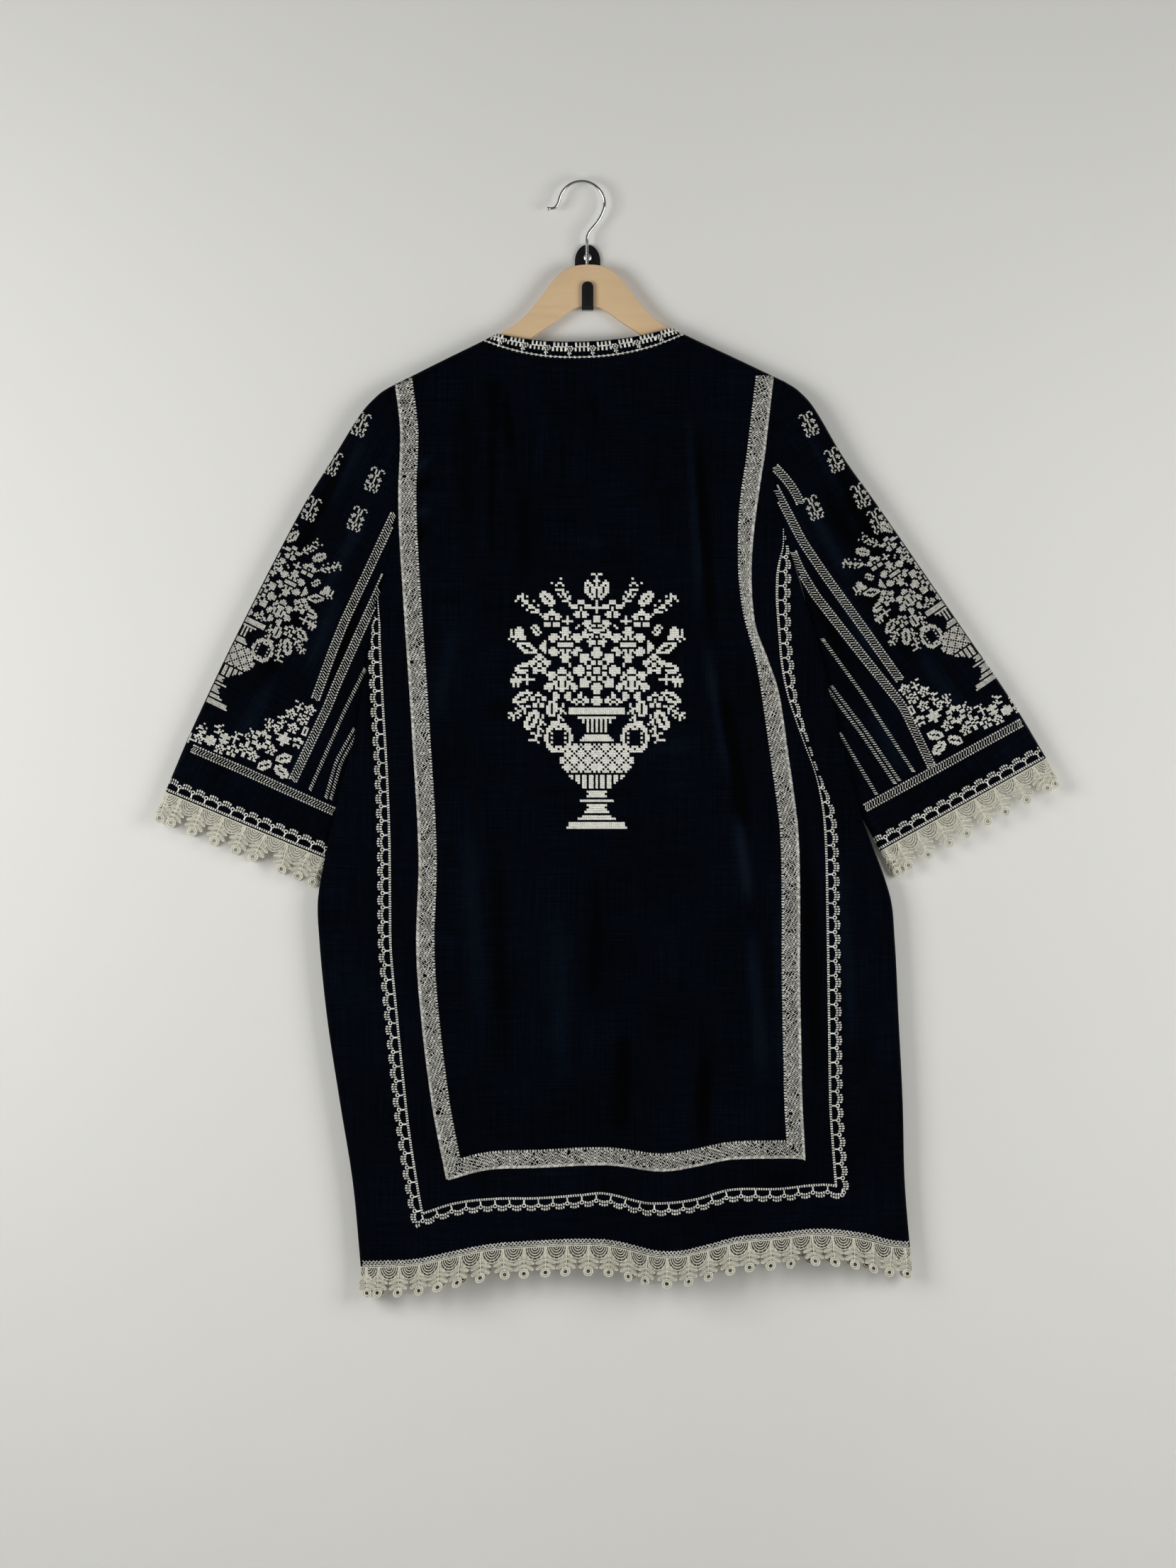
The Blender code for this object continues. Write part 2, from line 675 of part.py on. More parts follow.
def prism(name, outline, start, end, axis, material):
    """A flat outline carried from start to end along the X or the Y axis."""
    vertices = []
    for distance in (start, end):
        for first, second in outline:
            if axis == "X":
                vertices.append(np.array([distance, first, second]))
            else:
                vertices.append(np.array([first, distance, second]))
    count = len(outline)
    faces = [tuple(range(count)), tuple(range(2 * count - 1, count - 1, -1))]
    for place in range(count):
        beside = (place + 1) % count
        faces.append((place, beside, beside + count, place + count))
    return new_piece(name, vertices, faces, material)


def make_wall_hook(material):
    """A plate with round ends, and a flat bar that comes out under the hanger and turns up."""
    radius = PLATE_WIDTH / 2
    plate = []
    for centre, start in ((PLATE_TOP - radius, 0), (PLATE_FOOT + radius, 180)):
        for step in range(9):
            angle = radians(start + step * 22.5)
            plate.append((radius * cos(angle), centre + radius * sin(angle)))
    hook = prism("wall_hook", plate, 0.0, -PLATE_THICK, "Y", material)

    wood_under = read(HANGER, "under", ARM_WIDTH / 2) + HANGER_TILT * ARM_WIDTH / 2
    arm_top = -wood_under - SEAM
    arm_foot = arm_top - ARM_THICK
    prong_back = -(HANGER_DEPTH + HANGER_WOOD / 2 + REST)
    prong_front = prong_back - ARM_THICK
    inside_plate = -PLATE_THICK / 2
    bar = [
        (inside_plate, arm_foot), (prong_front + BAR_BEND, arm_foot),
        (prong_front, arm_foot + BAR_BEND), (prong_front, PRONG_TOP - BAR_EDGE),
        (prong_front + BAR_EDGE, PRONG_TOP), (prong_back - BAR_EDGE, PRONG_TOP),
        (prong_back, PRONG_TOP - BAR_EDGE), (prong_back, arm_top), (inside_plate, arm_top),
    ]
    arm = prism("wall_hook_arm_guide", bar, -ARM_WIDTH / 2, ARM_WIDTH / 2, "X", material)
    arm.hide_render = True
    arm.display_type = "WIRE"
    join = hook.modifiers.new("arm", "BOOLEAN")
    join.operation = "UNION"
    join.object = arm
    return hook


def make_wall_screw(material):
    """A low domed head that lies on the plate, turned about the screw's axis."""
    profile = [
        (SCREW_RADIUS, SEAM), (SCREW_RADIUS, SEAM + SCREW_SIDE),
        (SCREW_RADIUS * SCREW_DOME, SEAM + SCREW_HEIGHT),
    ]
    vertices = [np.array([0.0, -PLATE_THICK - SEAM, SCREW_Z])]
    for radius, height in profile:
        for step in range(SCREW_SIDES):
            angle = 2 * pi * step / SCREW_SIDES
            depth = PLATE_THICK + height
            vertices.append(np.array([radius * cos(angle), -depth, SCREW_Z + radius * sin(angle)]))
    vertices.append(np.array([0.0, -PLATE_THICK - SEAM - SCREW_HEIGHT, SCREW_Z]))
    last = len(vertices) - 1
    faces = []
    for step in range(SCREW_SIDES):
        beside = (step + 1) % SCREW_SIDES
        faces.append((0, 1 + step, 1 + beside))
        for ring in range(len(profile) - 1):
            here = 1 + ring * SCREW_SIDES
            above = here + SCREW_SIDES
            faces.append((here + step, here + beside, above + beside, above + step))
        here = 1 + (len(profile) - 1) * SCREW_SIDES
        faces.append((last, here + beside, here + step))
    return new_piece("wall_screw", vertices, faces, material)


def principled(name, colour, roughness, metallic=0.0):
    material = bpy.data.materials.new(name)
    material.use_nodes = True
    shader = material.node_tree.nodes["Principled BSDF"]
    shader.inputs["Base Color"].default_value = (*colour, 1)
    shader.inputs["Roughness"].default_value = roughness
    shader.inputs["Metallic"].default_value = metallic
    return material


def make_garment():
    straight_down = np.array([0.0, 0.0, -1.0])
    columns = {"back": panel_columns(5, 12), "front": panel_columns(3, 8)}
    lower_rows = {"back": 13, "front": 9}
    for face in ("back", "front"):
        linen = principled(face + " linen", NAVY, 0.9)
        hem, normals = make_panel(face, columns[face], lower_rows[face], linen)
        lace = principled(face + " hem lace", ECRU, 0.85)
        make_lace("hem_lace_" + face, hem, normals, straight_down, lace)
        make_collar(face, columns[face], principled(face + " neckband linen", NAVY, 0.9))
    for side in ("left", "right"):
        cuff = make_sleeve(side, principled(side + " sleeve linen", NAVY, 0.9))
        down = across_cuff(cuff)
        for face in ("back", "front"):
            lace = principled(f"{side} {face} cuff lace", ECRU, 0.85)
            make_lace(f"cuff_lace_{side}_{face}", *cuff[face], down, lace)


def make_hardware():
    make_hanger(principled("beech", BEECH, 0.45))
    make_hanger_hook(principled("hook wire", CHROME, 0.2, 1.0))
    make_wall_hook(principled("black enamel", BLACK, 0.4))
    make_wall_screw(principled("screw steel", CHROME, 0.3, 1.0))


clear_scene()
make_garment()
make_hardware()
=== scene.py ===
# %% [markdown]
# An embroidered kurti on its hanger
#
# The kurti hangs back outwards on a beech hanger, almost flat against a wall.  The cloth is navy
# linen, and everything pale on it is thread: cross-stitch borders, a bouquet, striped sleeves
# and a corded lace along the hem and the cuffs.  The solid model gives the true size and place
# of each piece.  This script dresses it, and each cell makes one finish or one piece.

from collections import namedtuple
from math import atan2, cos, degrees, hypot, pi, radians, sin

import bmesh
import bpy
import numpy as np
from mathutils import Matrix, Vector
from mathutils.bvhtree import BVHTree


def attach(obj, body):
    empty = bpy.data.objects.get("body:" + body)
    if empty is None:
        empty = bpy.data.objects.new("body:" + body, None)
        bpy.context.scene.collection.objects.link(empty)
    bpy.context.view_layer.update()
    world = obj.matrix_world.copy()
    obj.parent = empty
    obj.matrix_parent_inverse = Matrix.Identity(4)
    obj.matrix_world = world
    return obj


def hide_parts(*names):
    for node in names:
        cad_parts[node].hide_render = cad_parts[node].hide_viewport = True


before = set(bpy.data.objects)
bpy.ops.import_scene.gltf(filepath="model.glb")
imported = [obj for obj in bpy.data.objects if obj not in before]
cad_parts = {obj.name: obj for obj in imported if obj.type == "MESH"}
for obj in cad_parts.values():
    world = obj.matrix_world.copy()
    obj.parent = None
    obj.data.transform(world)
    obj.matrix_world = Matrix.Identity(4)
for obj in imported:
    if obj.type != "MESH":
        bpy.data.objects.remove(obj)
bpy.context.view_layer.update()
MM = 0.001
print("solid pieces:", len(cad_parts))

# %% [markdown]
# Curves through a few measures
#
# A garment is drafted from a few measures joined by smooth curves.  A short table holds the
# measures, and `read` runs a smooth curve through them.  Each helper takes whole arrays, so
# that one call gives thousands of points of the cloth.

# %% Helpers for smooth curves
def table(columns, *rows):
    """Rows of measures with named columns."""
    kind = namedtuple("Row", columns)
    return [kind(*row) for row in rows]


def between(start, end, part):
    return start + (end - start) * part


def ease(part):
    """Rises gently from 0 to 1."""
    part = np.clip(part, 0.0, 1.0)
    return part * part * (3 - 2 * part)


def fill(part):
    """Rises steeply from 0 and settles at 1, as thickness does away from a seam."""
    return 1 - (1 - np.clip(part, 0.0, 1.0)) ** 2


def run_lengths(points):
    """Length of a line of points up to each of them."""
    steps = np.linalg.norm(np.diff(points, axis=0), axis=1)
    return np.concatenate([[0.0], np.cumsum(steps)])


def turn(distance, roll):
    """A quarter round: 0 at a folded edge and 1 at the roll's distance from it."""
    inset = 1 - np.clip(distance / roll, 0.0, 1.0)
    return np.sqrt(1 - inset * inset)


def read(rows, column, key):
    """A column of a table at any key, on a smooth curve through its rows."""
    keys = np.array([row[0] for row in rows], float)
    values = np.array([getattr(row, column) for row in rows], float)
    key = np.clip(key, keys[0], keys[-1])
    spots = np.arange(len(keys))
    low = np.maximum(spots - 1, 0)
    high = np.minimum(spots + 1, len(keys) - 1)
    slopes = (values[high] - values[low]) / (keys[high] - keys[low])
    place = np.clip(np.searchsorted(keys, key) - 1, 0, len(keys) - 2)
    step = keys[place + 1] - keys[place]
    part = (key - keys[place]) / step
    straight = between(values[place], values[place + 1], ease(part))
    return straight + step * part * (1 - part) * ((1 - part) * slopes[place] - part * slopes[place + 1])


# %% [markdown]
# The measures of the garment
#
# All sizes are in millimetres.  A drop is a distance down from the wall hook's middle and a
# depth is a distance out from the wall.  These are the solid model's own measures, so the fine
# cloth made here lies where the solid cloth lies.

# %% Measures of the shoulders, seams and folds
CLOTH = 1.4
SEAM = 0.3
REST = 0.8
SHOULDER_LEFT = -193.6
SHOULDER_RIGHT = 192.0
UNDERARM_LEFT = 308.0
UNDERARM_RIGHT = 278.0
SHOULDER_ROLL = 8.0
SIDE_ROLL = 5.0
SIDE_HALF = 3.2
SIDE_FILL = 90.0
NECK_LEFT = -104.3
NECK_RIGHT = 96.7
COLLAR_LEFT = -90.0
COLLAR_RIGHT = 83.5
HANGER_WOOD = 11.0
HANGER_DEPTH = 11.0
HANGER_TILT = 0.0129
CUFF_INNER_LEFT = 572.6
CUFF_INNER_RIGHT = 564.0
SLEEVE_BACK = 20.0
CUFF_BACK = 18.0
SLEEVE_FRONT = 3.0
OUTER_FOLD_DEPTH = 9.0
INNER_FOLD_DEPTH = 7.5
SLEEVE_ROLL = 7.0
BODY_SEAM_TOP = 13.0
BODY_SEAM = 16.0
SEAM_SETTLE = 55.0
SLEEVE_TUCK = 4.0
SLEEVE_APART = 1.0
APART_BY = 12.0
TUCK_FROM = 35.0
TUCK_BY = 60.0
RIGHT_CUFF_SHOWS = 5.0
RIGHT_CUFF_FROM = 500.0
CAP = 0.2
OUTER_FOLD_SETTLE = 0.3
FOLD_ONSET = 0.2

Neck = namedtuple("Neck", "seam_sag edge_sag power")
NECKS = {"back": Neck(21.4, 11.0, 2.2), "front": Neck(168.0, 150.0, 1.25)}

HANGER = table("x top under",
    (0, -13.0, 28), (6, -12.8, 28.1), (12, -11.9, 29.6), (18, -10.0, 32.8), (24, -6.6, 37), (32, 0.4, 43),
    (44, 16, 51), (56, 31, 59), (66, 41, 65), (79, 50, 72), (104, 63, 85), (127, 74, 96.5),
    (150, 85, 107), (172, 95.8, 118), (193.6, 106.3, 129.5),
)
SIDES = table("drop left right",
    (278, -203, 202), (308, -207, 211), (360, -214, 226), (441, -227, 246), (521, -247, 266.5),
    (606, -264.7, 297), (650, -264, 302), (730, -256, 306), (812, -243.5, 310), (890, -231, 312),
    (975, -223, 319),
)
ARMHOLES = table("part left right",
    (0, SHOULDER_LEFT, SHOULDER_RIGHT), (0.045, SHOULDER_LEFT + 0.3, SHOULDER_RIGHT - 0.3),
    (0.12, -189, 186), (0.25, -186.5, 181.5), (0.45, -186, 181), (0.7, -191, 187), (0.9, -198, 196),
    (1, -207, 202),
)
HEM = table("x drop",
    (-223, 975), (-173, 972), (-132, 963.5), (-90, 956), (-48, 953), (-6.5, 951.6), (19, 953), (45, 958),
    (66, 962), (90, 962), (117, 957), (149, 949), (192, 945), (235, 942), (267, 945.5), (298.5, 954),
    (319, 956),
)
HANG = table("drop back front",
    (40, 20.5, 2.6), (110, 21.5, 2.8), (200, 25, 3.2), (300, 29, 3.6), (360, 31, 4), (500, 33, 4.5),
    (700, 34, 4.5), (980, 34, 5),
)
FOLD = "start x_start x_hem left right rise_start rise_hem"
BACK_FOLDS = table(FOLD,
    (80, 98, 180, 70, 26, 9, 8), (120, 136, 214, 18, 20, -4, -5), (560, 72, 84, 30, 30, 2, 18),
    (560, 36, 34, 20, 20, -2, -7), (120, -70, -60, 50, 60, 5, 6), (360, -185, -150, 28, 28, 4, 9),
    (330, 190, 262, 24, 26, 6, 8),
)
FRONT_FOLDS = table(FOLD,
    (330, -90, -110, 45, 45, 1, 2), (330, 20, 40, 45, 45, 1, 1.5), (330, 140, 170, 45, 45, 1, 2),
)
OUTER_FOLDS = table("part left_x left_drop right_x right_drop",
    (0, SHOULDER_LEFT, 106.6, SHOULDER_RIGHT, 100.8), (0.03, -205, 114, 206, 109.5),
    (0.083, -222, 132, 222, 126.5), (0.2, -251, 178, 251, 175), (0.33, -282, 228, 283, 220),
    (0.64, -347, 354, 363, 336), (0.858, -390, 445, 419, 418), (1, -415.6, 505, 451.6, 472.2),
)
print("folds in the back:", len(BACK_FOLDS))

# %% [markdown]
# Creases
#
# The big folds are in the solid model.  Linen also keeps small creases from wear and from being
# put away folded.  They could be simulated, but a simulation would not put them where they are,
# so each is a soft ridge or trough, listed one by one: where it starts and ends, how wide it is and
# how far it stands up.  A rise below zero is a trough.

# %% Tables of creases, back and front
CREASE = "x drop x_end drop_end width rise"
BACK_CREASES = table(CREASE,
    (98, 112, 112, 345, 5, 1.1), (112, 345, 146, 520, 6, 1.8), (146, 520, 160, 625, 6, 2.0),
    (160, 625, 172, 800, 7, 1.5), (106, 130, 124, 380, 5, -1.5), (126, 380, 158, 560, 6, -2.2),
    (36, 735, 33, 850, 6, -1.8), (115, 755, 112, 860, 6, -2.0), (-93, 92, -90, 160, 5, -0.9),
    (-80, 132, -76, 168, 4, -0.8), (4, 112, 8, 150, 4, -0.7), (-40, 118, -52, 200, 5, 0.6),
    (-152, 176, -178, 196, 4, 1.6), (-150, 196, -176, 212, 4, -1.5), (-150, 226, -180, 238, 4, 1.3),
    (-154, 244, -182, 268, 4, -1.3), (-156, 284, -184, 292, 4, 1.0), (-215, 355, -211, 494, 4, -0.9),
    (-146, 770, -142, 842, 5, -1.0), (-120, 500, -104, 760, 9, 0.8), (-92, 520, -80, 800, 8, -0.8),
    (-30, 600, -24, 820, 9, 0.7), (10, 560, 6, 720, 8, -0.7), (188, 560, 196, 830, 7, 1.0),
    (212, 520, 226, 820, 7, -1.1), (246, 560, 262, 780, 6, 0.9), (60, 300, 84, 430, 8, -0.7),
    (-130, 330, -150, 450, 8, 0.8), (-60, 880, 10, 872, 6, 0.5), (150, 890, 230, 880, 6, -0.5),
    (-95, 130, -94, 292, 3, -1.0), (-82, 108, -74, 176, 3, -1.1), (-122, 90, -118, 300, 9, -0.5),
    (-64, 180, -60, 320, 8, -0.4), (-40, 250, 30, 268, 7, 0.5), (-110, 420, -40, 436, 8, -0.5),
    (40, 470, 120, 455, 7, 0.5), (-180, 640, -120, 655, 7, 0.6),
)
FRONT_CREASES = table(CREASE,
    (-150, 150, -130, 320, 7, -0.9), (140, 150, 120, 330, 7, -0.9), (-60, 300, -84, 470, 8, 0.8),
    (40, 290, 70, 480, 8, 0.9), (-170, 340, -190, 560, 7, -1.0), (180, 330, 214, 560, 7, 1.0),
    (-20, 420, -26, 700, 9, -0.8), (96, 500, 110, 820, 8, 1.1), (-120, 560, -134, 850, 8, 1.0),
    (160, 620, 180, 880, 7, -1.0), (-200, 620, -192, 860, 7, 0.9), (30, 640, 20, 880, 8, -0.7),
    (-90, 860, -20, 868, 6, 0.5), (-60, 250, 20, 262, 7, -0.5),
)
SLEEVE_CREASES = {
    "left": table(CREASE,
        (-214, 150, -262, 236, 5, 1.0), (-228, 160, -300, 300, 6, -1.1), (-210, 215, -268, 330, 6, 1.2),
        (-262, 300, -330, 410, 7, -1.0), (-220, 300, -256, 420, 6, -1.3), (-240, 300, -280, 400, 6, 1.0),
        (-300, 380, -352, 470, 7, 1.0), (-268, 430, -300, 520, 6, 0.9), (-330, 440, -372, 500, 6, -0.9),
    ),
    "right": table(CREASE,
        (212, 146, 262, 230, 5, 1.0), (226, 156, 298, 290, 6, -1.1), (206, 205, 266, 312, 6, 1.3),
        (224, 200, 286, 300, 6, -1.0), (262, 290, 336, 390, 7, -1.0), (216, 290, 262, 400, 6, -1.3),
        (236, 286, 290, 388, 6, 1.1), (310, 350, 380, 440, 7, 1.0), (276, 420, 318, 500, 6, 0.9),
        (344, 420, 392, 470, 6, -0.9),
    ),
}


def crease_rise(creases, x, drop):
    """How far the creases lift the cloth at each point."""
    total = np.zeros(np.broadcast(x, drop).shape)
    for crease in creases:
        run = crease.x_end - crease.x
        fall = crease.drop_end - crease.drop
        length = hypot(run, fall)
        along = ((x - crease.x) * run + (drop - crease.drop) * fall) / length
        beside = ((drop - crease.drop) * run - (x - crease.x) * fall) / length
        fade = ease(along / length * 3) * ease((1 - along / length) * 3)
        total += crease.rise * fade * np.exp(-(beside / crease.width) ** 2)
    return total


print("creases:", sum(len(rows) for rows in (BACK_CREASES, FRONT_CREASES, *SLEEVE_CREASES.values())))

# %% [markdown]
# The form of the body
#
# Front and back meet at the shoulder line and the side seams.  The depth of each panel grows
# from these seams to its full depth, then the folds and the creases are added.  One function
# gives the depth anywhere, for the panels and for the neckband that stands on them.

# %% Seams and folds of the body
SIDE_KEYS = ("left", "right")
FACES = ("back", "front")


def shoulder_line(x):
    return read(HANGER, "top", np.abs(x)) - HANGER_TILT * x - CLOTH - REST


def underarm(side):
    return UNDERARM_LEFT if side == "left" else UNDERARM_RIGHT


def outward(side):
    return -1 if side == "left" else 1


def shoulder_x(side):
    return SHOULDER_LEFT if side == "left" else SHOULDER_RIGHT


def armhole_part(side, drop):
    top = shoulder_line(shoulder_x(side))
    return (drop - top) / (underarm(side) - top)


def edge_x(side, drop):
    """X of the armhole seam above the underarm, and of the side seam below it."""
    above = read(ARMHOLES, side, armhole_part(side, drop))
    return np.where(drop < underarm(side), above, read(SIDES, side, drop))


def from_side_seam(side, x, drop):
    low = underarm(side)
    beside = np.abs(x - edge_x(side, drop))
    above = np.hypot(x - edge_x(side, low), drop - low)
    return np.where(drop >= low, beside, above)


def seam_depth(side, drop):
    above = between(HANGER_DEPTH, BODY_SEAM_TOP, ease(armhole_part(side, drop)))
    below = between(BODY_SEAM_TOP, BODY_SEAM, ease((drop - underarm(side)) / SEAM_SETTLE))
    return np.where(drop < underarm(side), above, below)


def fold_rise(folds, x, drop):
    total = np.zeros(np.broadcast(x, drop).shape)
    for fold in folds:
        part = np.maximum((drop - fold.start) / (HEM[0].drop - fold.start), 0.0)
        offset = x - between(fold.x_start, fold.x_hem, part)
        width = np.where(offset < 0, fold.left, fold.right)
        rise = between(fold.rise_start, fold.rise_hem, part) * ease(part / FOLD_ONSET)
        total += rise * np.exp(-(offset / width) ** 2)
    return total


print("left edge at the underarm: x", round(float(edge_x("left", UNDERARM_LEFT)), 1), "mm")

# %% Depth of the body's cloth
CREASE_FADE = 26.0      # creases die out this far from a seam
CREASE_TOP = 0.6        # and start this share of it below the top
SLEEVE_CREASE = 0.8     # a sleeve's creases are this much flatter than their rows say


def body_depth(face, x, drop):
    """Depth of the outer surface of the back or the front."""
    middle = np.where(x < 0, seam_depth("left", drop), seam_depth("right", drop))
    inset = np.minimum(from_side_seam("left", x, drop), from_side_seam("right", x, drop))
    below_top = drop - shoulder_line(x)
    near_seam = ease(inset / CREASE_FADE) * ease(below_top / CREASE_FADE - CREASE_TOP)
    if face == "back":
        full = read(HANG, "back", drop) + fold_rise(BACK_FOLDS, x, drop)
        full = full + near_seam * crease_rise(BACK_CREASES, x, drop)
        gap = SEAM / 2
        beside_seam = middle + SIDE_HALF
    else:
        full = read(HANG, "front", drop) + fold_rise(FRONT_FOLDS, x, drop)
        full = full + near_seam * crease_rise(FRONT_CREASES, x, drop)
        gap = -SEAM / 2
        beside_seam = middle - SIDE_HALF
    target = between(beside_seam, full, fill(inset / SIDE_FILL))
    rounding = turn(below_top, SHOULDER_ROLL) * turn(inset, SIDE_ROLL)
    return middle + gap + (target - middle) * rounding


print("depth of the back at its middle:", round(float(body_depth("back", 0.0, 500.0)), 1), "mm")

# %% Points of a panel
def neck_curve(left, right, sag, power, part):
    ends = between(shoulder_line(left), shoulder_line(right), part)
    return between(left, right, part), ends + sag * (1 - np.abs(2 * part - 1) ** power)


def panel_top(face, x):
    part = np.clip((x - NECK_LEFT) / (NECK_RIGHT - NECK_LEFT), 0.0, 1.0)
    neck = neck_curve(NECK_LEFT, NECK_RIGHT, NECKS[face].seam_sag, NECKS[face].power, part)[1]
    return np.where((x <= NECK_LEFT) | (x >= NECK_RIGHT), shoulder_line(x), neck)


def stack(x, depth, drop):
    """Points in metres from a place in millimetres."""
    x, depth, drop = np.broadcast_arrays(x, depth, drop)
    return np.stack([x, -depth, -drop], axis=-1) * MM


def panel_point(face, part, row):
    """A point of a panel: part runs across it, row from 0 at the top to 1 at the underarms
    and 2 at the hem."""
    upper = np.minimum(row, 1.0)
    lower = np.clip(row - 1, 0.0, 1.0)
    top = panel_top(face, between(SHOULDER_LEFT, SHOULDER_RIGHT, part))
    under = between(UNDERARM_LEFT, UNDERARM_RIGHT, part)
    hem = read(HEM, "drop", between(HEM[0].x, HEM[-1].x, part))
    drop = np.where(row <= 1, between(top, under, upper), between(under, hem, lower))
    sides = []
    for side, end in zip(SIDE_KEYS, (HEM[0].drop, HEM[-1].drop)):
        below = read(SIDES, side, between(underarm(side), end, lower))
        sides.append(np.where(row <= 1, read(ARMHOLES, side, upper), below))
    x = between(sides[0], sides[1], part)
    return stack(x, body_depth(face, x, drop), drop)


print("middle of the back's hem:", np.round(panel_point("back", 0.5, 2.0) / MM, 1))

# %% [markdown]
# The form of the sleeves
#
# A sleeve is a tube pressed flat.  It runs from the armhole to the cuff between two folds: the
# outer one, which carries on from the shoulder, and the inner one, which slips behind the body.

# %% Points of a sleeve
def outer_fold(side, part):
    return read(OUTER_FOLDS, side + "_x", part), read(OUTER_FOLDS, side + "_drop", part)


def inner_fold(side, part):
    end = CUFF_INNER_LEFT if side == "left" else CUFF_INNER_RIGHT
    drop = between(underarm(side), end, part)
    below = drop - underarm(side)
    beside = between(SEAM, SLEEVE_APART, ease(below / APART_BY))
    apart = between(beside, -SLEEVE_TUCK, ease((below - TUCK_FROM) / (TUCK_BY - TUCK_FROM)))
    if side == "right":
        near_cuff = ease((drop - RIGHT_CUFF_FROM) / (end - RIGHT_CUFF_FROM))
        apart = between(apart, RIGHT_CUFF_SHOWS, near_cuff)
    return read(SIDES, side, drop) + outward(side) * apart, drop


def sleeve_point(side, face, part, across):
    """A point of a sleeve: part runs from the armhole to the cuff, and across from its outer
    fold to its inner fold, on its back or its front."""
    outer_x, outer_drop = outer_fold(side, part)
    inner_x, inner_drop = inner_fold(side, part)
    x = between(outer_x, inner_x, across)
    drop = between(outer_drop, inner_drop, across)
    arm_drop = between(shoulder_line(shoulder_x(side)), underarm(side), across)
    arm_x = read(ARMHOLES, side, across)
    chord = between(shoulder_x(side), read(ARMHOLES, side, 1.0), across)
    x = x + (arm_x - chord + outward(side) * SEAM) * (1 - part) ** 3
    width = np.hypot(outer_x - inner_x, outer_drop - inner_drop)

    settled = ease((inner_drop - underarm(side)) / SEAM_SETTLE)
    inner_middle = between(BODY_SEAM_TOP, INNER_FOLD_DEPTH, settled)
    outer_middle = between(HANGER_DEPTH, OUTER_FOLD_DEPTH, ease(part / OUTER_FOLD_SETTLE))
    middle = between(outer_middle, inner_middle, across)
    from_inner = (1 - across) * width
    full = between(SLEEVE_BACK, CUFF_BACK, part) if face == "back" else SLEEVE_FRONT
    facing = 1 if face == "back" else -1
    fade = ease(across * width / CREASE_FADE) * ease(from_inner / CREASE_FADE)
    full = full + facing * SLEEVE_CREASE * fade * crease_rise(SLEEVE_CREASES[side], x, drop)
    target = between(middle + facing * SIDE_HALF, full, fill(from_inner / SIDE_FILL))
    rounding = turn(across * width, SLEEVE_ROLL) * turn(from_inner, SIDE_ROLL)
    depth = middle + (target - middle) * rounding
    at_armhole = body_depth(face, arm_x, arm_drop) - facing * SEAM / 2
    depth = between(at_armhole, depth, ease(part / CAP))
    return stack(x, depth, drop)


print("left cuff's outer corner:", np.round(sleeve_point("left", "back", 1.0, 0.0) / MM, 1))

# %% [markdown]
# Navy linen
#
# Linen is a plain weave of uneven threads, so it shows fine crossing ribs, thicker slubs and a
# faint grey bloom where fibres stand up.  The weave reads the cloth's own UV map, laid out in
# metres, so its threads follow each piece down the sleeve and across the body.  Two wave
# textures at right angles make the ribs, and long stretched noise makes the slubs.  Painted
# light and shade: the cloth is paler where a crease lifts it and darker in a crease's trough.

# %% Helpers for materials
def add_node(material, kind, inputs=(), **settings):
    node = material.node_tree.nodes.new(kind)
    for name, value in settings.items():
        setattr(node, name, value)
    for name, value in dict(inputs).items():
        if isinstance(value, bpy.types.NodeSocket):
            material.node_tree.links.new(value, node.inputs[name])
        else:
            node.inputs[name].default_value = value
    return node


def new_material(name, roughness, metallic=0.0, **sockets):
    material = bpy.data.materials.new(name)
    material.use_nodes = True
    shader = material.node_tree.nodes["Principled BSDF"]
    shader.inputs["Roughness"].default_value = roughness
    shader.inputs["Metallic"].default_value = metallic
    for name, value in sockets.items():
        shader.inputs[name.replace("_", " ")].default_value = value
    return material, shader


def link(material, output, socket):
    material.node_tree.links.new(output, socket)


def colours(material, value, *stops):
    """A colour ramp through pairs of position and colour."""
    ramp = add_node(material, "ShaderNodeValToRGB", {"Fac": value})
    ramp.color_ramp.elements[0].position = stops[0][0]
    ramp.color_ramp.elements[0].color = (*stops[0][1], 1)
    ramp.color_ramp.elements[1].position = stops[-1][0]
    ramp.color_ramp.elements[1].color = (*stops[-1][1], 1)
    for position, colour in stops[1:-1]:
        ramp.color_ramp.elements.new(position).color = (*colour, 1)
    return ramp.outputs["Color"]


def scaled(material, vector, scale):
    """The same place, stretched by a different amount each way."""
    mapping = add_node(material, "ShaderNodeMapping", {"Vector": vector, "Scale": scale})
    return mapping.outputs["Vector"]


def noise(material, vector, scale, detail=2.0, roughness=0.5):
    inputs = {"Vector": vector, "Scale": scale, "Detail": detail, "Roughness": roughness}
    return add_node(material, "ShaderNodeTexNoise", inputs).outputs["Fac"]


def combine(material, operation, *values):
    """A maths node of two or three values."""
    node = add_node(material, "ShaderNodeMath", operation=operation)
    for socket, value in zip(node.inputs, values):
        if isinstance(value, bpy.types.NodeSocket):
            link(material, value, socket)
        else:
            socket.default_value = value
    return node.outputs["Value"]


def weighed(material, *parts):
    """The sum of several values, each times its share."""
    total = 0.0
    for value, share in parts:
        total = combine(material, "MULTIPLY_ADD", value, share, total)
    return total


def object_place(material):
    return add_node(material, "ShaderNodeTexCoord").outputs["Object"]


def bump(material, shader, height, distance, strength=1.0):
    inputs = {"Height": height, "Distance": distance, "Strength": strength}
    link(material, add_node(material, "ShaderNodeBump", inputs).outputs["Normal"], shader.inputs["Normal"])


print("helpers ready")

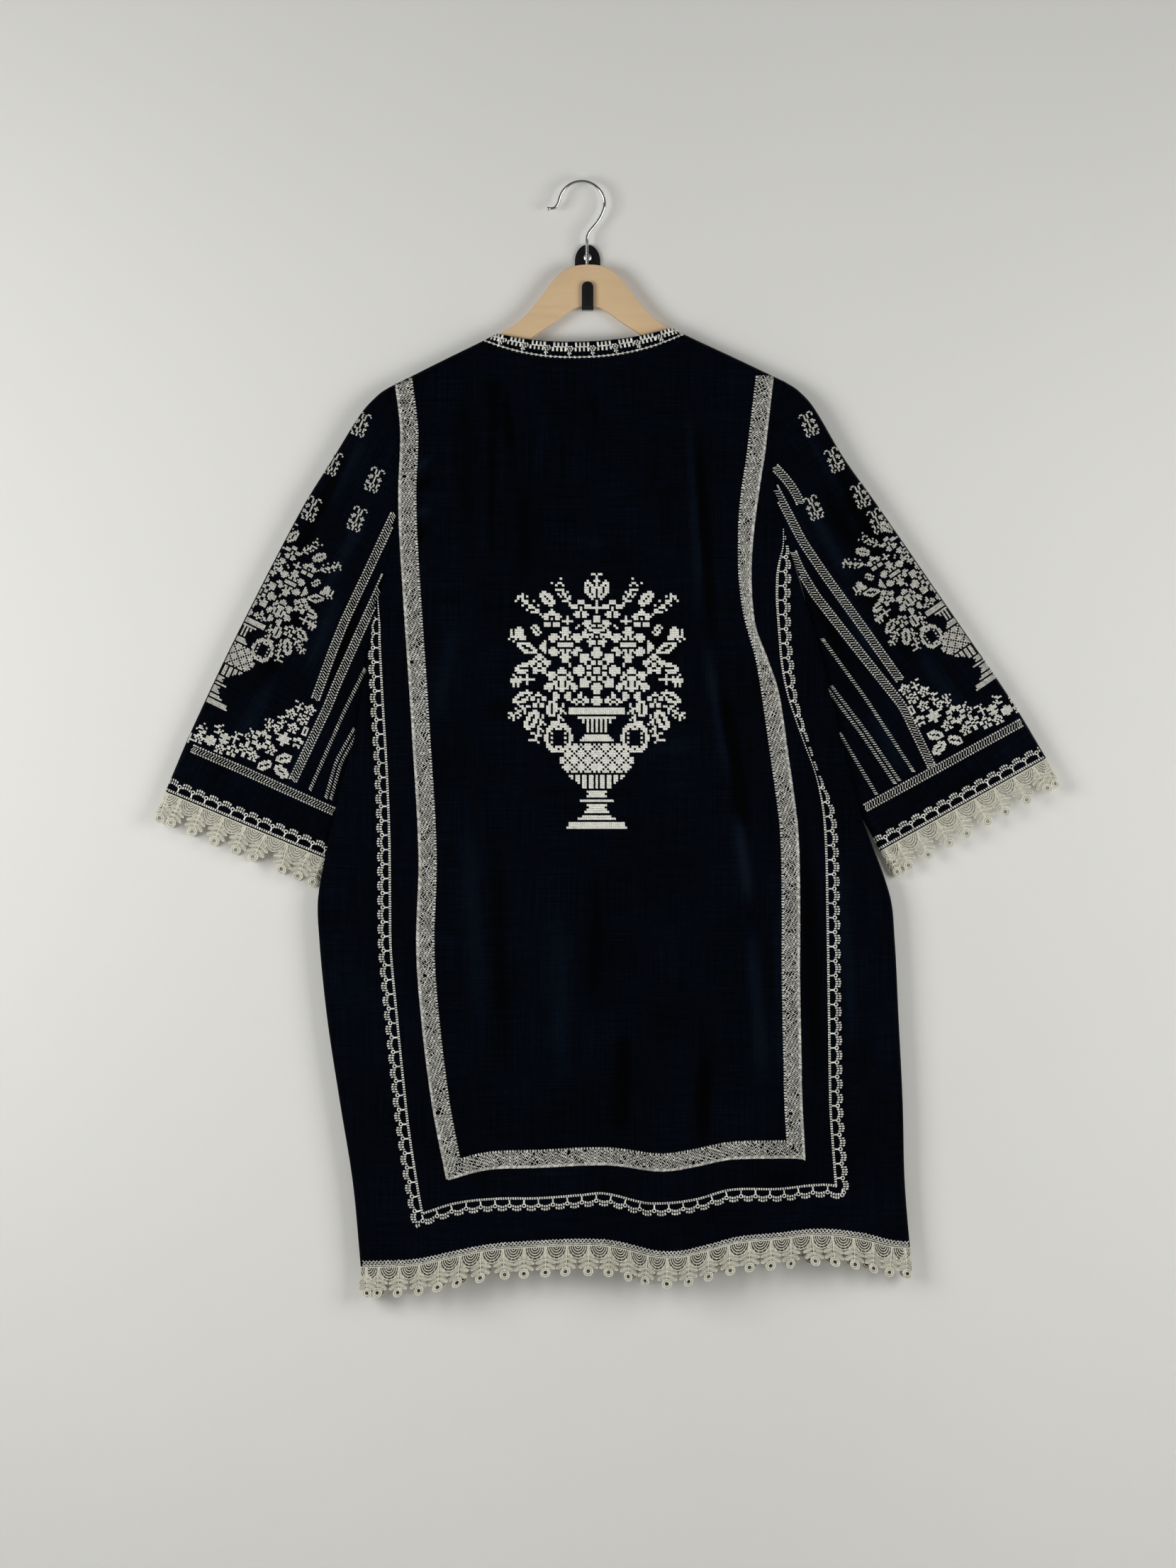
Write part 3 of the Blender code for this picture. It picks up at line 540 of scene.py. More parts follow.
# %% Linen material
THREAD_PITCH = 0.55 * MM
WAVE_PERIOD = pi / 10       # length of one band of a wave texture at scale 1
WEFT_SLUBS = (18, 900, 1)   # the slubs' noise: long one way and thin the other
WARP_SLUBS = (900, 14, 1)
LINT = (160, 160, 1)
NAVY = [
    (0.22, (0.0001, 0.0002, 0.0004)), (0.38, (0.0004, 0.0008, 0.0019)), (0.50, (0.0007, 0.0017, 0.0044)),
    (0.95, (0.0036, 0.0068, 0.0130)),
]


def make_linen():
    material, shader = new_material(
        "navy linen", 0.8, Sheen_Weight=0.005, Sheen_Roughness=0.4, Specular_IOR_Level=0.02,
    )
    place = add_node(material, "ShaderNodeUVMap", uv_map="cloth").outputs["UV"]
    ribs = []
    for direction in ("X", "Y"):
        inputs = {"Vector": place, "Scale": WAVE_PERIOD / THREAD_PITCH, "Distortion": 1.2, "Detail": 1.0}
        wave = add_node(material, "ShaderNodeTexWave", inputs, bands_direction=direction)
        ribs.append(wave.outputs["Fac"])
    weave = combine(material, "MAXIMUM", ribs[0], ribs[1])
    weft = noise(material, scaled(material, place, WEFT_SLUBS), 1.0, 3.0)
    warp = noise(material, scaled(material, place, WARP_SLUBS), 1.0, 3.0)
    slubs = combine(material, "MULTIPLY", weft, warp)
    bloom = noise(material, place, 9.0, 4.0, 0.6)
    lint = combine(material, "POWER", noise(material, scaled(material, place, LINT), 1.0, 5.0, 0.8), 6.0)
    # painted light and shade: the linen is paler where a crease stands up and darker in its trough
    lift = add_node(material, "ShaderNodeAttribute", attribute_name="crease").outputs["Fac"]
    tone = weighed(material, (slubs, 1.0), (bloom, 0.35), (lint, 1.5), (lift, 0.22))
    link(material, colours(material, tone, *NAVY), shader.inputs["Base Color"])
    bump(material, shader, weighed(material, (weave, 1.0), (slubs, 2.0)), 0.25 * MM, 0.7)
    return material


linen = make_linen()
print("linen threads per cm:", round(0.01 / THREAD_PITCH))

# %% [markdown]
# The panels
#
# Each panel is one sheet of linen.  It starts as a flat grid, as the cut cloth does, then every
# point of the grid is moved to its place on the hanging garment.  The Solidify modifier gives
# the sheet its thickness, away from the outer surface.  A cloth simulation would drape it by
# chance, and here the photograph's own folds are wanted.

# %% Helpers for modelling
def deselect():
    if bpy.context.object and bpy.context.object.mode != "OBJECT":
        bpy.ops.object.mode_set(mode="OBJECT")
    bpy.ops.object.select_all(action="DESELECT")


def edit_all():
    bpy.ops.object.mode_set(mode="EDIT")
    bpy.ops.mesh.select_all(action="SELECT")


def face_outwards():
    """Turns every face outwards and leaves edit mode."""
    bpy.ops.mesh.select_all(action="SELECT")
    bpy.ops.mesh.normals_make_consistent(inside=False)
    bpy.ops.object.mode_set(mode="OBJECT")


def pull_out(move):
    """Extrudes what is selected."""
    bpy.ops.mesh.extrude_region_move(TRANSFORM_OT_translate={"value": move})


def resize(value, about=(0, 0, 0)):
    bpy.ops.transform.resize(value=value, center_override=about)


def smooth_below(angle):
    bpy.ops.object.shade_smooth_by_angle(angle=radians(angle))


def apply_modifiers(piece):
    bpy.context.view_layer.objects.active = piece
    for modifier in list(piece.modifiers):
        bpy.ops.object.modifier_apply(modifier=modifier.name)


def bevel_edges(piece, width, segments, sharper_than, smooth_angle):
    rounding = piece.modifiers.new("rounded edges", "BEVEL")
    rounding.width = width * MM
    rounding.segments = segments
    rounding.limit_method = "ANGLE"
    rounding.angle_limit = radians(sharper_than)
    apply_modifiers(piece)
    smooth_below(smooth_angle)


def drop_uv_maps(piece):
    while piece.data.uv_layers:
        piece.data.uv_layers.remove(piece.data.uv_layers[0])


def points_of(piece):
    points = np.zeros(len(piece.data.vertices) * 3)
    piece.data.vertices.foreach_get("co", points)
    return points.reshape(-1, 3)


def set_points(piece, points):
    piece.data.vertices.foreach_set("co", points.astype(np.float32).ravel())
    piece.data.update()


print("modelling helpers ready")

# %% A grid of cloth moved into place
def grid_of_cloth(name, columns, rows):
    """A flat grid named for its piece, with the column and the row part of each vertex."""
    deselect()
    bpy.ops.mesh.primitive_grid_add(x_subdivisions=columns, y_subdivisions=rows, size=2)
    sheet = bpy.context.object
    sheet.name = name
    sheet.data.name = name
    flat = points_of(sheet)
    return sheet, (flat[:, 0] + 1) / 2, (1 - flat[:, 1]) / 2


def finish_cloth(sheet, layout):
    """Lays the weave by a place for each vertex, and gives the sheet its thickness and linen."""
    drop_uv_maps(sheet)
    layer = sheet.data.uv_layers.new(name="cloth")
    corners = np.zeros(len(sheet.data.loops), int)
    sheet.data.loops.foreach_get("vertex_index", corners)
    layer.data.foreach_set("uv", layout[corners].astype(np.float32).ravel())
    bpy.ops.object.shade_smooth()
    wall = sheet.modifiers.new("thickness of the cloth", "SOLIDIFY")
    wall.thickness = CLOTH * MM
    wall.offset = -1
    wall.use_even_offset = False
    apply_modifiers(sheet)
    sheet.data.materials.append(linen)


def lay_face(sheet, face, points):
    """Lays a sheet as a part of the back or the front, with its faces towards the outside."""
    set_points(sheet, points)
    total = sum(polygon.normal.y * polygon.area for polygon in sheet.data.polygons)
    if (total > 0) == (face == "back"):
        sheet.data.flip_normals()
    finish_cloth(sheet, points[:, [0, 2]])


def paint_crease_shade(sheet, creases):
    """Stores how far the creases lift each vertex, for the painted light and shade in the cloth's colour.
    """
    places = points_of(sheet) / MM
    lift = crease_rise(creases, places[:, 0], -places[:, 2])
    layer = sheet.data.attributes.new("crease", "FLOAT", "POINT")
    layer.data.foreach_set("value", lift.astype(np.float32))


def area_of(piece):
    return sum(polygon.area for polygon in piece.data.polygons)


print("thickness of the cloth:", CLOTH, "mm")

# %% Back and front panels
PANEL_GRID = {"back": (150, 190), "front": (90, 120)}
# The narrow ends of a grid get more rows: parts of the grid, then parts of the cloth.
ACROSS = ((0, 0.03, 0.97, 1), (0, 0.013, 0.987, 1))
DOWN = ((0, 0.035, 0.34, 1), (0, 0.045, 1, 2))


def make_panel(face):
    columns, rows = PANEL_GRID[face]
    sheet, across, down = grid_of_cloth(face + "_cloth", columns, rows)
    lay_face(sheet, face, panel_point(face, np.interp(across, *ACROSS), np.interp(down, *DOWN)))
    paint_crease_shade(sheet, BACK_CREASES if face == "back" else FRONT_CREASES)
    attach(sheet, "root")
    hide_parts(face + "_panel")
    return sheet


panels = {}
for face in FACES:
    panels[face] = make_panel(face)
    print(face, "panel: faces", len(panels[face].data.polygons),
          "cloth", round(area_of(panels[face]) / 2, 3), "square metres")

# %% [markdown]
# The sleeves
#
# A sleeve is cut as one piece and joined along the underarm, so its grid starts and ends at the
# inner fold and its two ends are merged there.  The weave runs down the sleeve.

# %% Sleeves as joined tubes
SLEEVE_GRID = (116, 92)
SLEEVE_ACROSS = ((0, 0.06, 0.94, 1), (0, 0.03, 0.97, 1))
SLEEVE_DOWN = ((0, 0.2, 1), (0, 0.12, 1))


def make_sleeve(side):
    columns, rows = SLEEVE_GRID
    sheet, around, down = grid_of_cloth("sleeve_cloth_" + side, columns, rows)
    part = np.interp(down, *SLEEVE_DOWN)
    across = np.interp(1 - np.minimum(around, 1 - around) * 2, *SLEEVE_ACROSS)
    front = sleeve_point(side, "front", part, across)
    back = sleeve_point(side, "back", part, across)
    set_points(sheet, np.where((around < 0.5)[:, None], front, back))
    edit_all()
    bpy.ops.mesh.remove_doubles(threshold=0.01 * MM)
    face_outwards()
    backs = [face.center.y for face in sheet.data.polygons if face.normal.y < -0.9]
    fronts = [face.center.y for face in sheet.data.polygons if face.normal.y > 0.9]
    if np.mean(backs) > np.mean(fronts):
        sheet.data.flip_normals()
    points = points_of(sheet)
    run = np.array(outer_fold(side, 0.8)) - np.array(outer_fold(side, 0.2))
    run = run / np.linalg.norm(run)
    along = points[:, 0] * run[0] - points[:, 2] * run[1]
    inwards = points[:, 0] * run[1] + points[:, 2] * run[0]
    finish_cloth(sheet, np.stack([inwards, along], axis=-1))
    paint_crease_shade(sheet, SLEEVE_CREASES[side])
    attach(sheet, "root")
    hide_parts("sleeve_" + side)
    return sheet


sleeves = {}
for side in SIDE_KEYS:
    sleeves[side] = make_sleeve(side)
    print(side, "sleeve: faces", len(sleeves[side].data.polygons),
          "cloth", round(area_of(sleeves[side]) / 2, 3), "square metres")

# %% [markdown]
# The neckband
#
# A bias strip stands on the neck seam and curves with the body below it.  It is folded double on
# the real garment, and here it is one sheet, as thick as the rest of the cloth.

# %% Neckbands, back and front
BAND_GRID = {"back": (120, 12), "front": (180, 12)}
BAND_ACROSS = ((0, 0.04, 0.96, 1), (0, 0.015, 0.985, 1))
FREE_EDGE = 0.985       # the band's height where its grid starts, short of the seam


def collar_point(face, part, height):
    neck = NECKS[face]
    seam = neck_curve(NECK_LEFT, NECK_RIGHT, neck.seam_sag, neck.power, part)
    edge = neck_curve(COLLAR_LEFT, COLLAR_RIGHT, neck.edge_sag, neck.power, part)
    x = between(seam[0], edge[0], height)
    drop = between(seam[1], edge[1], height)
    return stack(x, body_depth(face, x, drop), drop)


def make_neckband(face):
    columns, rows = BAND_GRID[face]
    sheet, across, down = grid_of_cloth("neckband_cloth_" + face, columns, rows)
    lay_face(sheet, face, collar_point(face, np.interp(across, *BAND_ACROSS), 1 - down * FREE_EDGE))
    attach(sheet, "root")
    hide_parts("neckband_" + face)
    return sheet


neckbands = {}
for face in FACES:
    neckbands[face] = make_neckband(face)
    print(face, "neckband: cloth", round(area_of(neckbands[face]) / 2, 4), "square metres")

# %% [markdown]
# Ivory embroidery thread
#
# The thread is stranded cotton: matt, off-white and ribbed along its length.  Each stitch was
# pulled a little differently, so each gets a tone of its own, stored in the mesh.

# %% Thread and lace materials
def make_thread(name, dark, light, roughness):
    material, shader = new_material(name, roughness, Sheen_Weight=0.15, Specular_IOR_Level=0.3)
    tone = add_node(material, "ShaderNodeAttribute", attribute_name="tone").outputs["Fac"]
    place = object_place(material)
    value = weighed(material, (tone, 0.6), (noise(material, place, 700.0, 3.0), 0.4))
    link(material, colours(material, value, (0.0, dark), (0.85, light)), shader.inputs["Base Color"])
    strands = noise(material, place, 4200.0, 1.0)
    bump(material, shader, strands, 0.2 * MM, 0.6)
    return material


ivory = make_thread("ivory cotton thread", (0.36, 0.355, 0.32), (0.88, 0.88, 0.82), 0.75)
# the ramp's near-black end is painted shade, reached by the discs behind the lace's gaps
ecru = make_thread("ecru lace cord", (0.009, 0.008, 0.006), (0.75, 0.735, 0.62), 0.8)
print("thread materials:", ivory.name, "and", ecru.name)

# %% [markdown]
# One stitch
#
# All the embroidery is made of straight stitches: two crossed ones are a cross-stitch.  One
# stitch is modelled by hand: a cube whose top is pinched to a ridge and drawn in at its ends,
# like a thread that dives into the cloth.  It has only eight triangles when they are counted,
# because thousands of copies of it follow.

# %% Model the stitch
def select_where(piece, kind, wanted):
    """Selects the faces or the verts for which wanted is true, in edit mode."""
    shape = bmesh.from_edit_mesh(piece.data)
    for item in getattr(shape, kind):
        item.select_set(bool(wanted(item)))
    shape.select_flush_mode()
    bmesh.update_edit_mesh(piece.data)


deselect()
bpy.ops.mesh.primitive_cube_add(size=1, location=(0, 0, 0.5))
stitch_model = bpy.context.object
bpy.ops.object.transform_apply(location=True)
bpy.ops.object.mode_set(mode="EDIT")
select_where(stitch_model, "faces", lambda face: face.normal.z > 0.9)
resize((0.62, 0.0, 1.0), about=(0, 0, 1))
bpy.ops.mesh.select_all(action="SELECT")
bpy.ops.mesh.remove_doubles(threshold=0.001)
face_outwards()
stitch_points = np.array([vertex.co for vertex in stitch_model.data.vertices])
stitch_faces = [list(face.vertices) for face in stitch_model.data.polygons]
bpy.data.objects.remove(stitch_model)
print("a stitch:", len(stitch_points), "points,", len(stitch_faces), "faces")

# %% [markdown]
# Sewing
#
# The embroiderer works on the flat face of the cloth, so each stitch is listed by its place in
# front view.  To sew it, a ray is sent to the cloth from the room, and the stitch is laid where
# the ray lands, along the cloth and turned to its slope.  A stitch that would miss the piece,
# or lie round its edge, is left out, as when the needle stops at a seam.

# %% Straight stitches and crosses
Stitch = namedtuple("Stitch", "x drop angle length width lift")
BAR_WIDTH = 0.7
BAR_HEIGHT = 0.5
BAR_OVER = 0.22         # the second bar of a cross lies this much higher
SUNK = 0.05             # a stitch starts this far inside the cloth
STEEPEST = 0.25         # no stitch is laid where the cloth turns away more than this
ANGLE_ERROR = 3.5       # spread of the stitches' angles, in degrees
LENGTH_ERROR = 0.05     # and of their lengths and widths, as shares
WIDTH_ERROR = 0.08
DULL = (-0.4, 0.5)      # tones of thread that has worn
BRIGHT = (0.6, 1.3)
UNEVEN = (-0.7, 0.9)
EVEN = (0.0, 1.0)


def slant(run, fall):
    """Direction of a move in degrees, from +X towards the top."""
    return degrees(atan2(-fall, run))


def bar(x, drop, angle, length, width=BAR_WIDTH, lift=0.0):
    """One straight stitch. Its angle is in degrees, from +X towards the top."""
    return Stitch(x, drop, angle, length, width, lift)


def cross(x, drop, wide, angle=0.0, width=BAR_WIDTH, tall=None):
    tall = tall or wide
    lean = degrees(atan2(tall, wide))
    reach = hypot(wide, tall) * 0.94
    return [bar(x, drop, angle + lean, reach, width), bar(x, drop, angle - lean, reach, width, BAR_OVER)]


print("length of a bar in a 2 mm cross:", round(cross(0, 0, 2)[0].length, 2), "mm")

# %% Sewing stitches on a cloth
def pick(piece):
    """Selects one piece alone and makes it the active one."""
    deselect()
    piece.select_set(True)
    bpy.context.view_layer.objects.active = piece


def new_piece(name, points, faces, tones, material):
    """One mesh with a tone at each of its points, selected."""
    mesh = bpy.data.meshes.new(name)
    mesh.from_pydata(points.tolist(), [], faces)
    tone = mesh.attributes.new("tone", "FLOAT", "POINT")
    tone.data.foreach_set("value", tones.astype(np.float32))
    mesh.materials.append(material)
    piece = bpy.data.objects.new(name, mesh)
    bpy.context.collection.objects.link(piece)
    pick(piece)
    return piece


def sew(name, cloth, face, stitches, seed, tones=EVEN):
    """Makes one mesh of all the stitches that land on a cloth, in tones between two limits."""
    tree = BVHTree.FromObject(cloth, bpy.context.evaluated_depsgraph_get())
    away = 1 if face == "back" else -1
    dice = np.random.default_rng(seed)
    placed = []
    for stitch in stitches:
        start = Vector((stitch.x * MM, -away * 0.5, -stitch.drop * MM))
        hit, normal, _, _ = tree.ray_cast(start, Vector((0, away, 0)))
        if hit is not None and abs(normal.y) > STEEPEST:
            placed.append((*hit, *(normal * -away * np.sign(normal.y)), *stitch[2:]))
    rows = np.array(placed)
    count = len(rows)
    origin = rows[:, 0:3]
    normal = rows[:, 3:6]
    angle = np.radians(rows[:, 6] + dice.normal(0, ANGLE_ERROR, count))
    length = rows[:, 7] * dice.normal(1, LENGTH_ERROR, count)
    width = rows[:, 8] * dice.normal(1, WIDTH_ERROR, count)
    along = np.stack([np.cos(angle), np.zeros(count), np.sin(angle)], axis=-1)
    along[:, 1] = -(normal[:, 0] * along[:, 0] + normal[:, 2] * along[:, 2]) / normal[:, 1]
    beside = np.cross(normal, along)
    beside /= np.linalg.norm(beside, axis=1)[:, None]
    points = origin[:, None, :] + MM * (
        along[:, None, :] * (length[:, None] * stitch_points[:, 0])[:, :, None]
        + beside[:, None, :] * (width[:, None] * stitch_points[:, 1])[:, :, None]
        + normal[:, None, :] * (BAR_HEIGHT * stitch_points[:, 2] + rows[:, 9][:, None] - SUNK)[:, :, None]
    )
    faces = [[first * len(stitch_points) + corner for corner in corners]
             for first in range(count) for corners in stitch_faces]
    values = np.repeat(dice.uniform(*tones, count), len(stitch_points))
    piece = new_piece(name, points.reshape(-1, 3), faces, values, ivory)
    bpy.ops.object.shade_smooth()
    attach(piece, "root")
    print(name + ":", count, "stitches of", len(stitches), "-", count * 8, "triangles")
    return piece


def sew_panels(name, stitches, seed, tones=EVEN):
    """The same stitches on the back and, with the next seed, on the front."""
    for later, face in enumerate(FACES):
        piece = sew(f"{name}_{face}", panels[face], face, stitches, seed + later, tones)
        embroidery[face + "_cloth"].append(piece)


def sew_both_halves(name, side, stitches, seed, tones=EVEN):
    """The same stitches on the back and the front of a sleeve."""
    for face in FACES:
        own_seed = seed + 2 * SIDE_KEYS.index(side) + (face == "back")
        piece = sew(f"{name}_{side}_{face}", sleeves[side], face, stitches, own_seed, tones)
        embroidery["sleeve_cloth_" + side].append(piece)


embroidery = {piece.name: [] for piece in (*panels.values(), *sleeves.values(), *neckbands.values())}
print("pieces to embroider:", len(embroidery))

# %% [markdown]
# The wide band
#
# A band of netted crosses runs down from each shoulder and across above the hem, with a mitre
# at each corner.  It is 17 mm wide: a brick lattice of crosses, with a close row of slanted
# stitches along its outer edge and upright ones along its inner edge.  The tables give its
# middle line, and the share of its width that shows where it turns into a fold.  A few stitches
# of the net are missing, as on worn cloth.

# %% Lines of the wide band
LINE = "at middle"
BAND_LEFT = table(LINE,
    (100, -181), (146, -175.4), (174, -175.4), (205, -176.8), (250, -176.1), (299, -173.3), (341, -170.5),
    (452, -162.9), (568, -156.6), (660, -158.7), (729, -153.8), (812, -143.4), (876, -131.2), (892, -128),
)
BAND_FOOT = table(LINE,
    (-145, 879), (-131, 875.5), (-110, 869.5), (-90, 866.2), (-48, 864.8), (15, 862.8), (70, 867.9),
    (106, 863.4), (141, 856.8), (192, 856), (220, 858),
)
BAND_RIGHT = table(LINE,
    (98, 174), (150, 167.9), (176, 164.9), (205, 160.3), (234, 156.8), (262, 154.9), (291, 154.4),
    (320, 156.3), (337, 158.9), (349, 161.9), (363, 166.6), (378, 171.4), (406, 178.5), (435, 183),
    (464, 187), (498, 191.8), (545, 197.4), (614, 199.1), (684, 199.1), (752, 200.4), (812, 201.8),
    (857, 204.3), (875, 205),
)
SHARE = "at share"
WHOLE = table(SHARE, (0, 1), (1000, 1))
BAND_SHARES = [
    WHOLE,
    WHOLE,
    table(SHARE,
        (98, 1), (205, 1), (234, 0.94), (262, 0.8), (291, 0.69), (320, 0.57), (349, 0.46), (363, 0.54),
        (378, 0.66), (406, 0.95), (435, 1),
    ),
]
print("rows of the wide band's lines:", len(BAND_LEFT), len(BAND_FOOT), len(BAND_RIGHT))

# %% Places along a run
Run = namedtuple("Run", "table start end is_down corners")
Corner = namedtuple("Corner", "outer_x outer_drop inner_x inner_drop")


def run_place(run, along, across):
    """X and drop of a place on a run: along it, and across it to the right or downwards."""
    middle = read(run.table, "middle", along)
    return (middle + across, along) if run.is_down else (along, middle + across)


def run_angle(run, along):
    """Direction of a run, in degrees."""
    x_start, drop_start = run_place(run, along - 3, 0.0)
    x_end, drop_end = run_place(run, along + 3, 0.0)
    return slant(x_end - x_start, drop_end - drop_start)


def along_run(run, pitch):
    """Places along a run, one at each pitch."""
    return [run.start + step * pitch for step in range(int((run.end - run.start) / pitch))]


def beyond(corner, x, drop):
    """Which side of a corner's mitre a place is on."""
    run_x = corner.inner_x - corner.outer_x
    run_drop = corner.inner_drop - corner.outer_drop
    return (x - corner.outer_x) * run_drop - (drop - corner.outer_drop) * run_x


def within(run, x, drop):
    """True where a place is on the run's own side of its mitres."""
    middle = run_place(run, (run.start + run.end) / 2, 0.0)
    return all(beyond(corner, x, drop) * beyond(corner, *middle) > 0 for corner in run.corners)


print("helpers for runs ready")

# %% Sew the wide band
BAND_CORNER_LEFT = Corner(-137.1, 885.3, -125.3, 867.2)
BAND_CORNER_RIGHT = Corner(211.6, 865.5, 197.0, 848.5)
WIDE_BAND = [
    Run(BAND_LEFT, 100, 890, True, [BAND_CORNER_LEFT]),
    Run(BAND_FOOT, -143, 218, False, [BAND_CORNER_LEFT, BAND_CORNER_RIGHT]),
    Run(BAND_RIGHT, 98, 872, True, [BAND_CORNER_RIGHT]),
]
INWARD = [1, -1, -1]        # the way to the garment's middle on each run
NET_PITCH = 3.2
NET_WIDTH = 0.86
WORN_AWAY = 0.07        # share of the net's stitches that are missing
NET_COLUMNS = range(-2, 3)
NET_HALF = 6.6          # no cross of the net lies farther from the middle line
EDGE_AT = 7.7
EDGE_ROWS = table("pitch side lean length width", (1.5, -1, 55, 3.3, 1.2), (2.8, 1, 90, 2.4, 1.7))


def sew_wide_band():
    stitches = []
    dice = np.random.default_rng(31)
    for run, inward, shares in zip(WIDE_BAND, INWARD, BAND_SHARES):
        for row, along in enumerate(along_run(run, NET_PITCH)):
            angle = run_angle(run, along)
            share = float(read(shares, "share", along))
            shift = NET_PITCH / 2 if row % 2 else 0.0
            for across in [column * NET_PITCH + shift for column in NET_COLUMNS]:
                x, drop = run_place(run, along, across * share)
                if abs(across) <= NET_HALF and within(run, x, drop):
                    width = NET_WIDTH * dice.uniform(0.8, 1.1)
                    knot = cross(x, drop, NET_PITCH, angle, width, NET_PITCH * share)
                    stitches += [stitch for stitch in knot if dice.random() > WORN_AWAY]
        for edge in EDGE_ROWS:
            for along in along_run(run, edge.pitch):
                share = float(read(shares, "share", along))
                x, drop = run_place(run, along, edge.side * inward * share * EDGE_AT)
                if within(run, x, drop):
                    angle = run_angle(run, along) + edge.lean
                    stitches.append(bar(x, drop, angle, edge.length, edge.width))
    return stitches


sew_panels("wide_band", sew_wide_band(), 11, UNEVEN)

# %% [markdown]
# The narrow border
#
# Nearer the edge runs a counted border.  One repeat is charted, six stitches long:
# blocks of two columns outside, a small ring between the blocks, and a beaded line inside that
# a short bar ties to each ring.  It narrows where the cloth turns away into a fold.

# %% Lines of the narrow border
BORDER_LEFT = table(LINE,
    (311, -207.5), (326, -208.5), (341, -209), (360, -209.5), (418, -206.7), (485, -202.5), (552, -199.8),
    (618, -199.1), (660, -198.4), (729, -192.1), (798, -185.1), (835, -181), (898, -171.2), (935, -164),
)
BORDER_FOOT = table(LINE,
    (-175, 927), (-165, 925), (-131.5, 914.5), (-90, 909.7), (-48, 909), (-6, 906.2), (15, 904.8),
    (49, 912.5), (64, 913.8), (106, 909.7), (141, 900.6), (192, 899.9), (235, 896.1), (255, 900),
)
BORDER_RIGHT = table(LINE,
    (236, 191.9), (250, 193.2), (265, 194.5), (280, 193.5), (295, 192.5), (318, 192), (355, 193.8),
    (375, 195.4), (408, 200), (435, 207.4), (463, 216.6), (480, 222.6), (497, 228.5), (524, 236.2),
    (558, 239.2), (627, 240.5), (710, 241.6), (729, 241.9), (812, 243.2), (837, 244.6), (902, 249.5),
)
SHARES = [
    table(SHARE, (311, 0.15), (326, 0.5), (345, 0.85), (380, 1)),
    WHOLE,
    table(SHARE,
        (236, 0.1), (250, 0.15), (265, 0.45), (280, 0.9), (295, 1.1), (355, 0.95), (381, 0.95),
        (408, 0.75), (435, 0.56), (463, 0.40), (480, 0.30), (497, 0.45), (524, 0.9), (558, 1),
    ),
]
BORDER_CORNER_LEFT = Corner(-170.5, 935.5, -159.5, 914.5)
BORDER_CORNER_RIGHT = Corner(258, 905, 240, 888)
NARROW_BORDER = [
    Run(BORDER_LEFT, 311, 932, True, [BORDER_CORNER_LEFT]),
    Run(BORDER_FOOT, -172, 254, False, [BORDER_CORNER_LEFT, BORDER_CORNER_RIGHT]),
    Run(BORDER_RIGHT, 236, 900, True, [BORDER_CORNER_RIGHT]),
]
print("runs of the narrow border:", len(NARROW_BORDER))

# %% Sew the narrow border
STITCH_PITCH = 2.36
ROWS_IN_REPEAT = 6
BEADED_LINE = 5.5       # places across the border, inwards from its middle
BLOCK_NEAR = -2.0
BLOCK_FAR = -5.1
BLOCK_SWELL = 0.7       # how far the middle of a block bows outwards
RING_AT = -1.6
RING_BARS = 6
RING_RADIUS = 1.55
TIE_AT = 1.9
TIE_LONG = 5.0
NO_RING = 0.5           # where the border is narrower than this share, it has no ring or tie


def bead(x, drop, angle, share=1.0):
    """A short fat cross that looks like a bead."""
    return cross(x, drop, 1.2, angle, 1.05, 2.3 * share)


def half_step_on(x, drop, angle):
    """The middle between one row of stitches and the next."""
    half_step = STITCH_PITCH / 2
    return x + half_step * cos(radians(angle)), drop - half_step * sin(radians(angle)), angle


def border_row(place, row, share=1.0):
    """The stitches of one row of the border; place(across) gives x, drop and angle."""
    part = row % ROWS_IN_REPEAT
    stitches = bead(*place(BEADED_LINE), share)
    if part < 4:
        swell = BLOCK_SWELL if part in (1, 2) else 0.0
        stitches += bead(*place(BLOCK_NEAR - swell), share) + bead(*place(BLOCK_FAR - swell), share)
    elif part == 4 and share > NO_RING:
        x, drop, angle = half_step_on(*place(RING_AT))
        for step in range(RING_BARS):
            spin = angle + step * 360 / RING_BARS
            ring_x = x + RING_RADIUS * cos(radians(spin))
            ring_drop = drop - RING_RADIUS * sin(radians(spin))
            stitches.append(bar(ring_x, ring_drop, spin + 90, 2.2, 1.2))
        x, drop, angle = half_step_on(*place(TIE_AT))
        stitches.append(bar(x, drop, angle + 90, TIE_LONG * share, 1.6))
    return stitches


def sew_narrow_border():
    stitches = []
    for run, inward, shares in zip(NARROW_BORDER, INWARD, SHARES):
        for row, along in enumerate(along_run(run, STITCH_PITCH)):
            angle = run_angle(run, along)
            share = float(read(shares, "share", along))

            def place(across):
                return *run_place(run, along, inward * share * across), angle

            stitches += [item for item in border_row(place, row, share) if within(run, item.x, item.drop)]
    return stitches


sew_panels("narrow_border", sew_narrow_border(), 13)

# %% [markdown]
# The hem strip
#
# Along the hem runs a row of tall crosses that share their corners, over a line of short running
# stitches, with a thin edge of navy left above the lace.

# %% Hem strip
HEM_CROSS = 3.6
HEM_CROSS_TALL = 4.0
HEM_CROSS_UP = 6.2      # height of the crosses above the hem's edge
RUNNING_UP = 3.3        # height of the running stitches


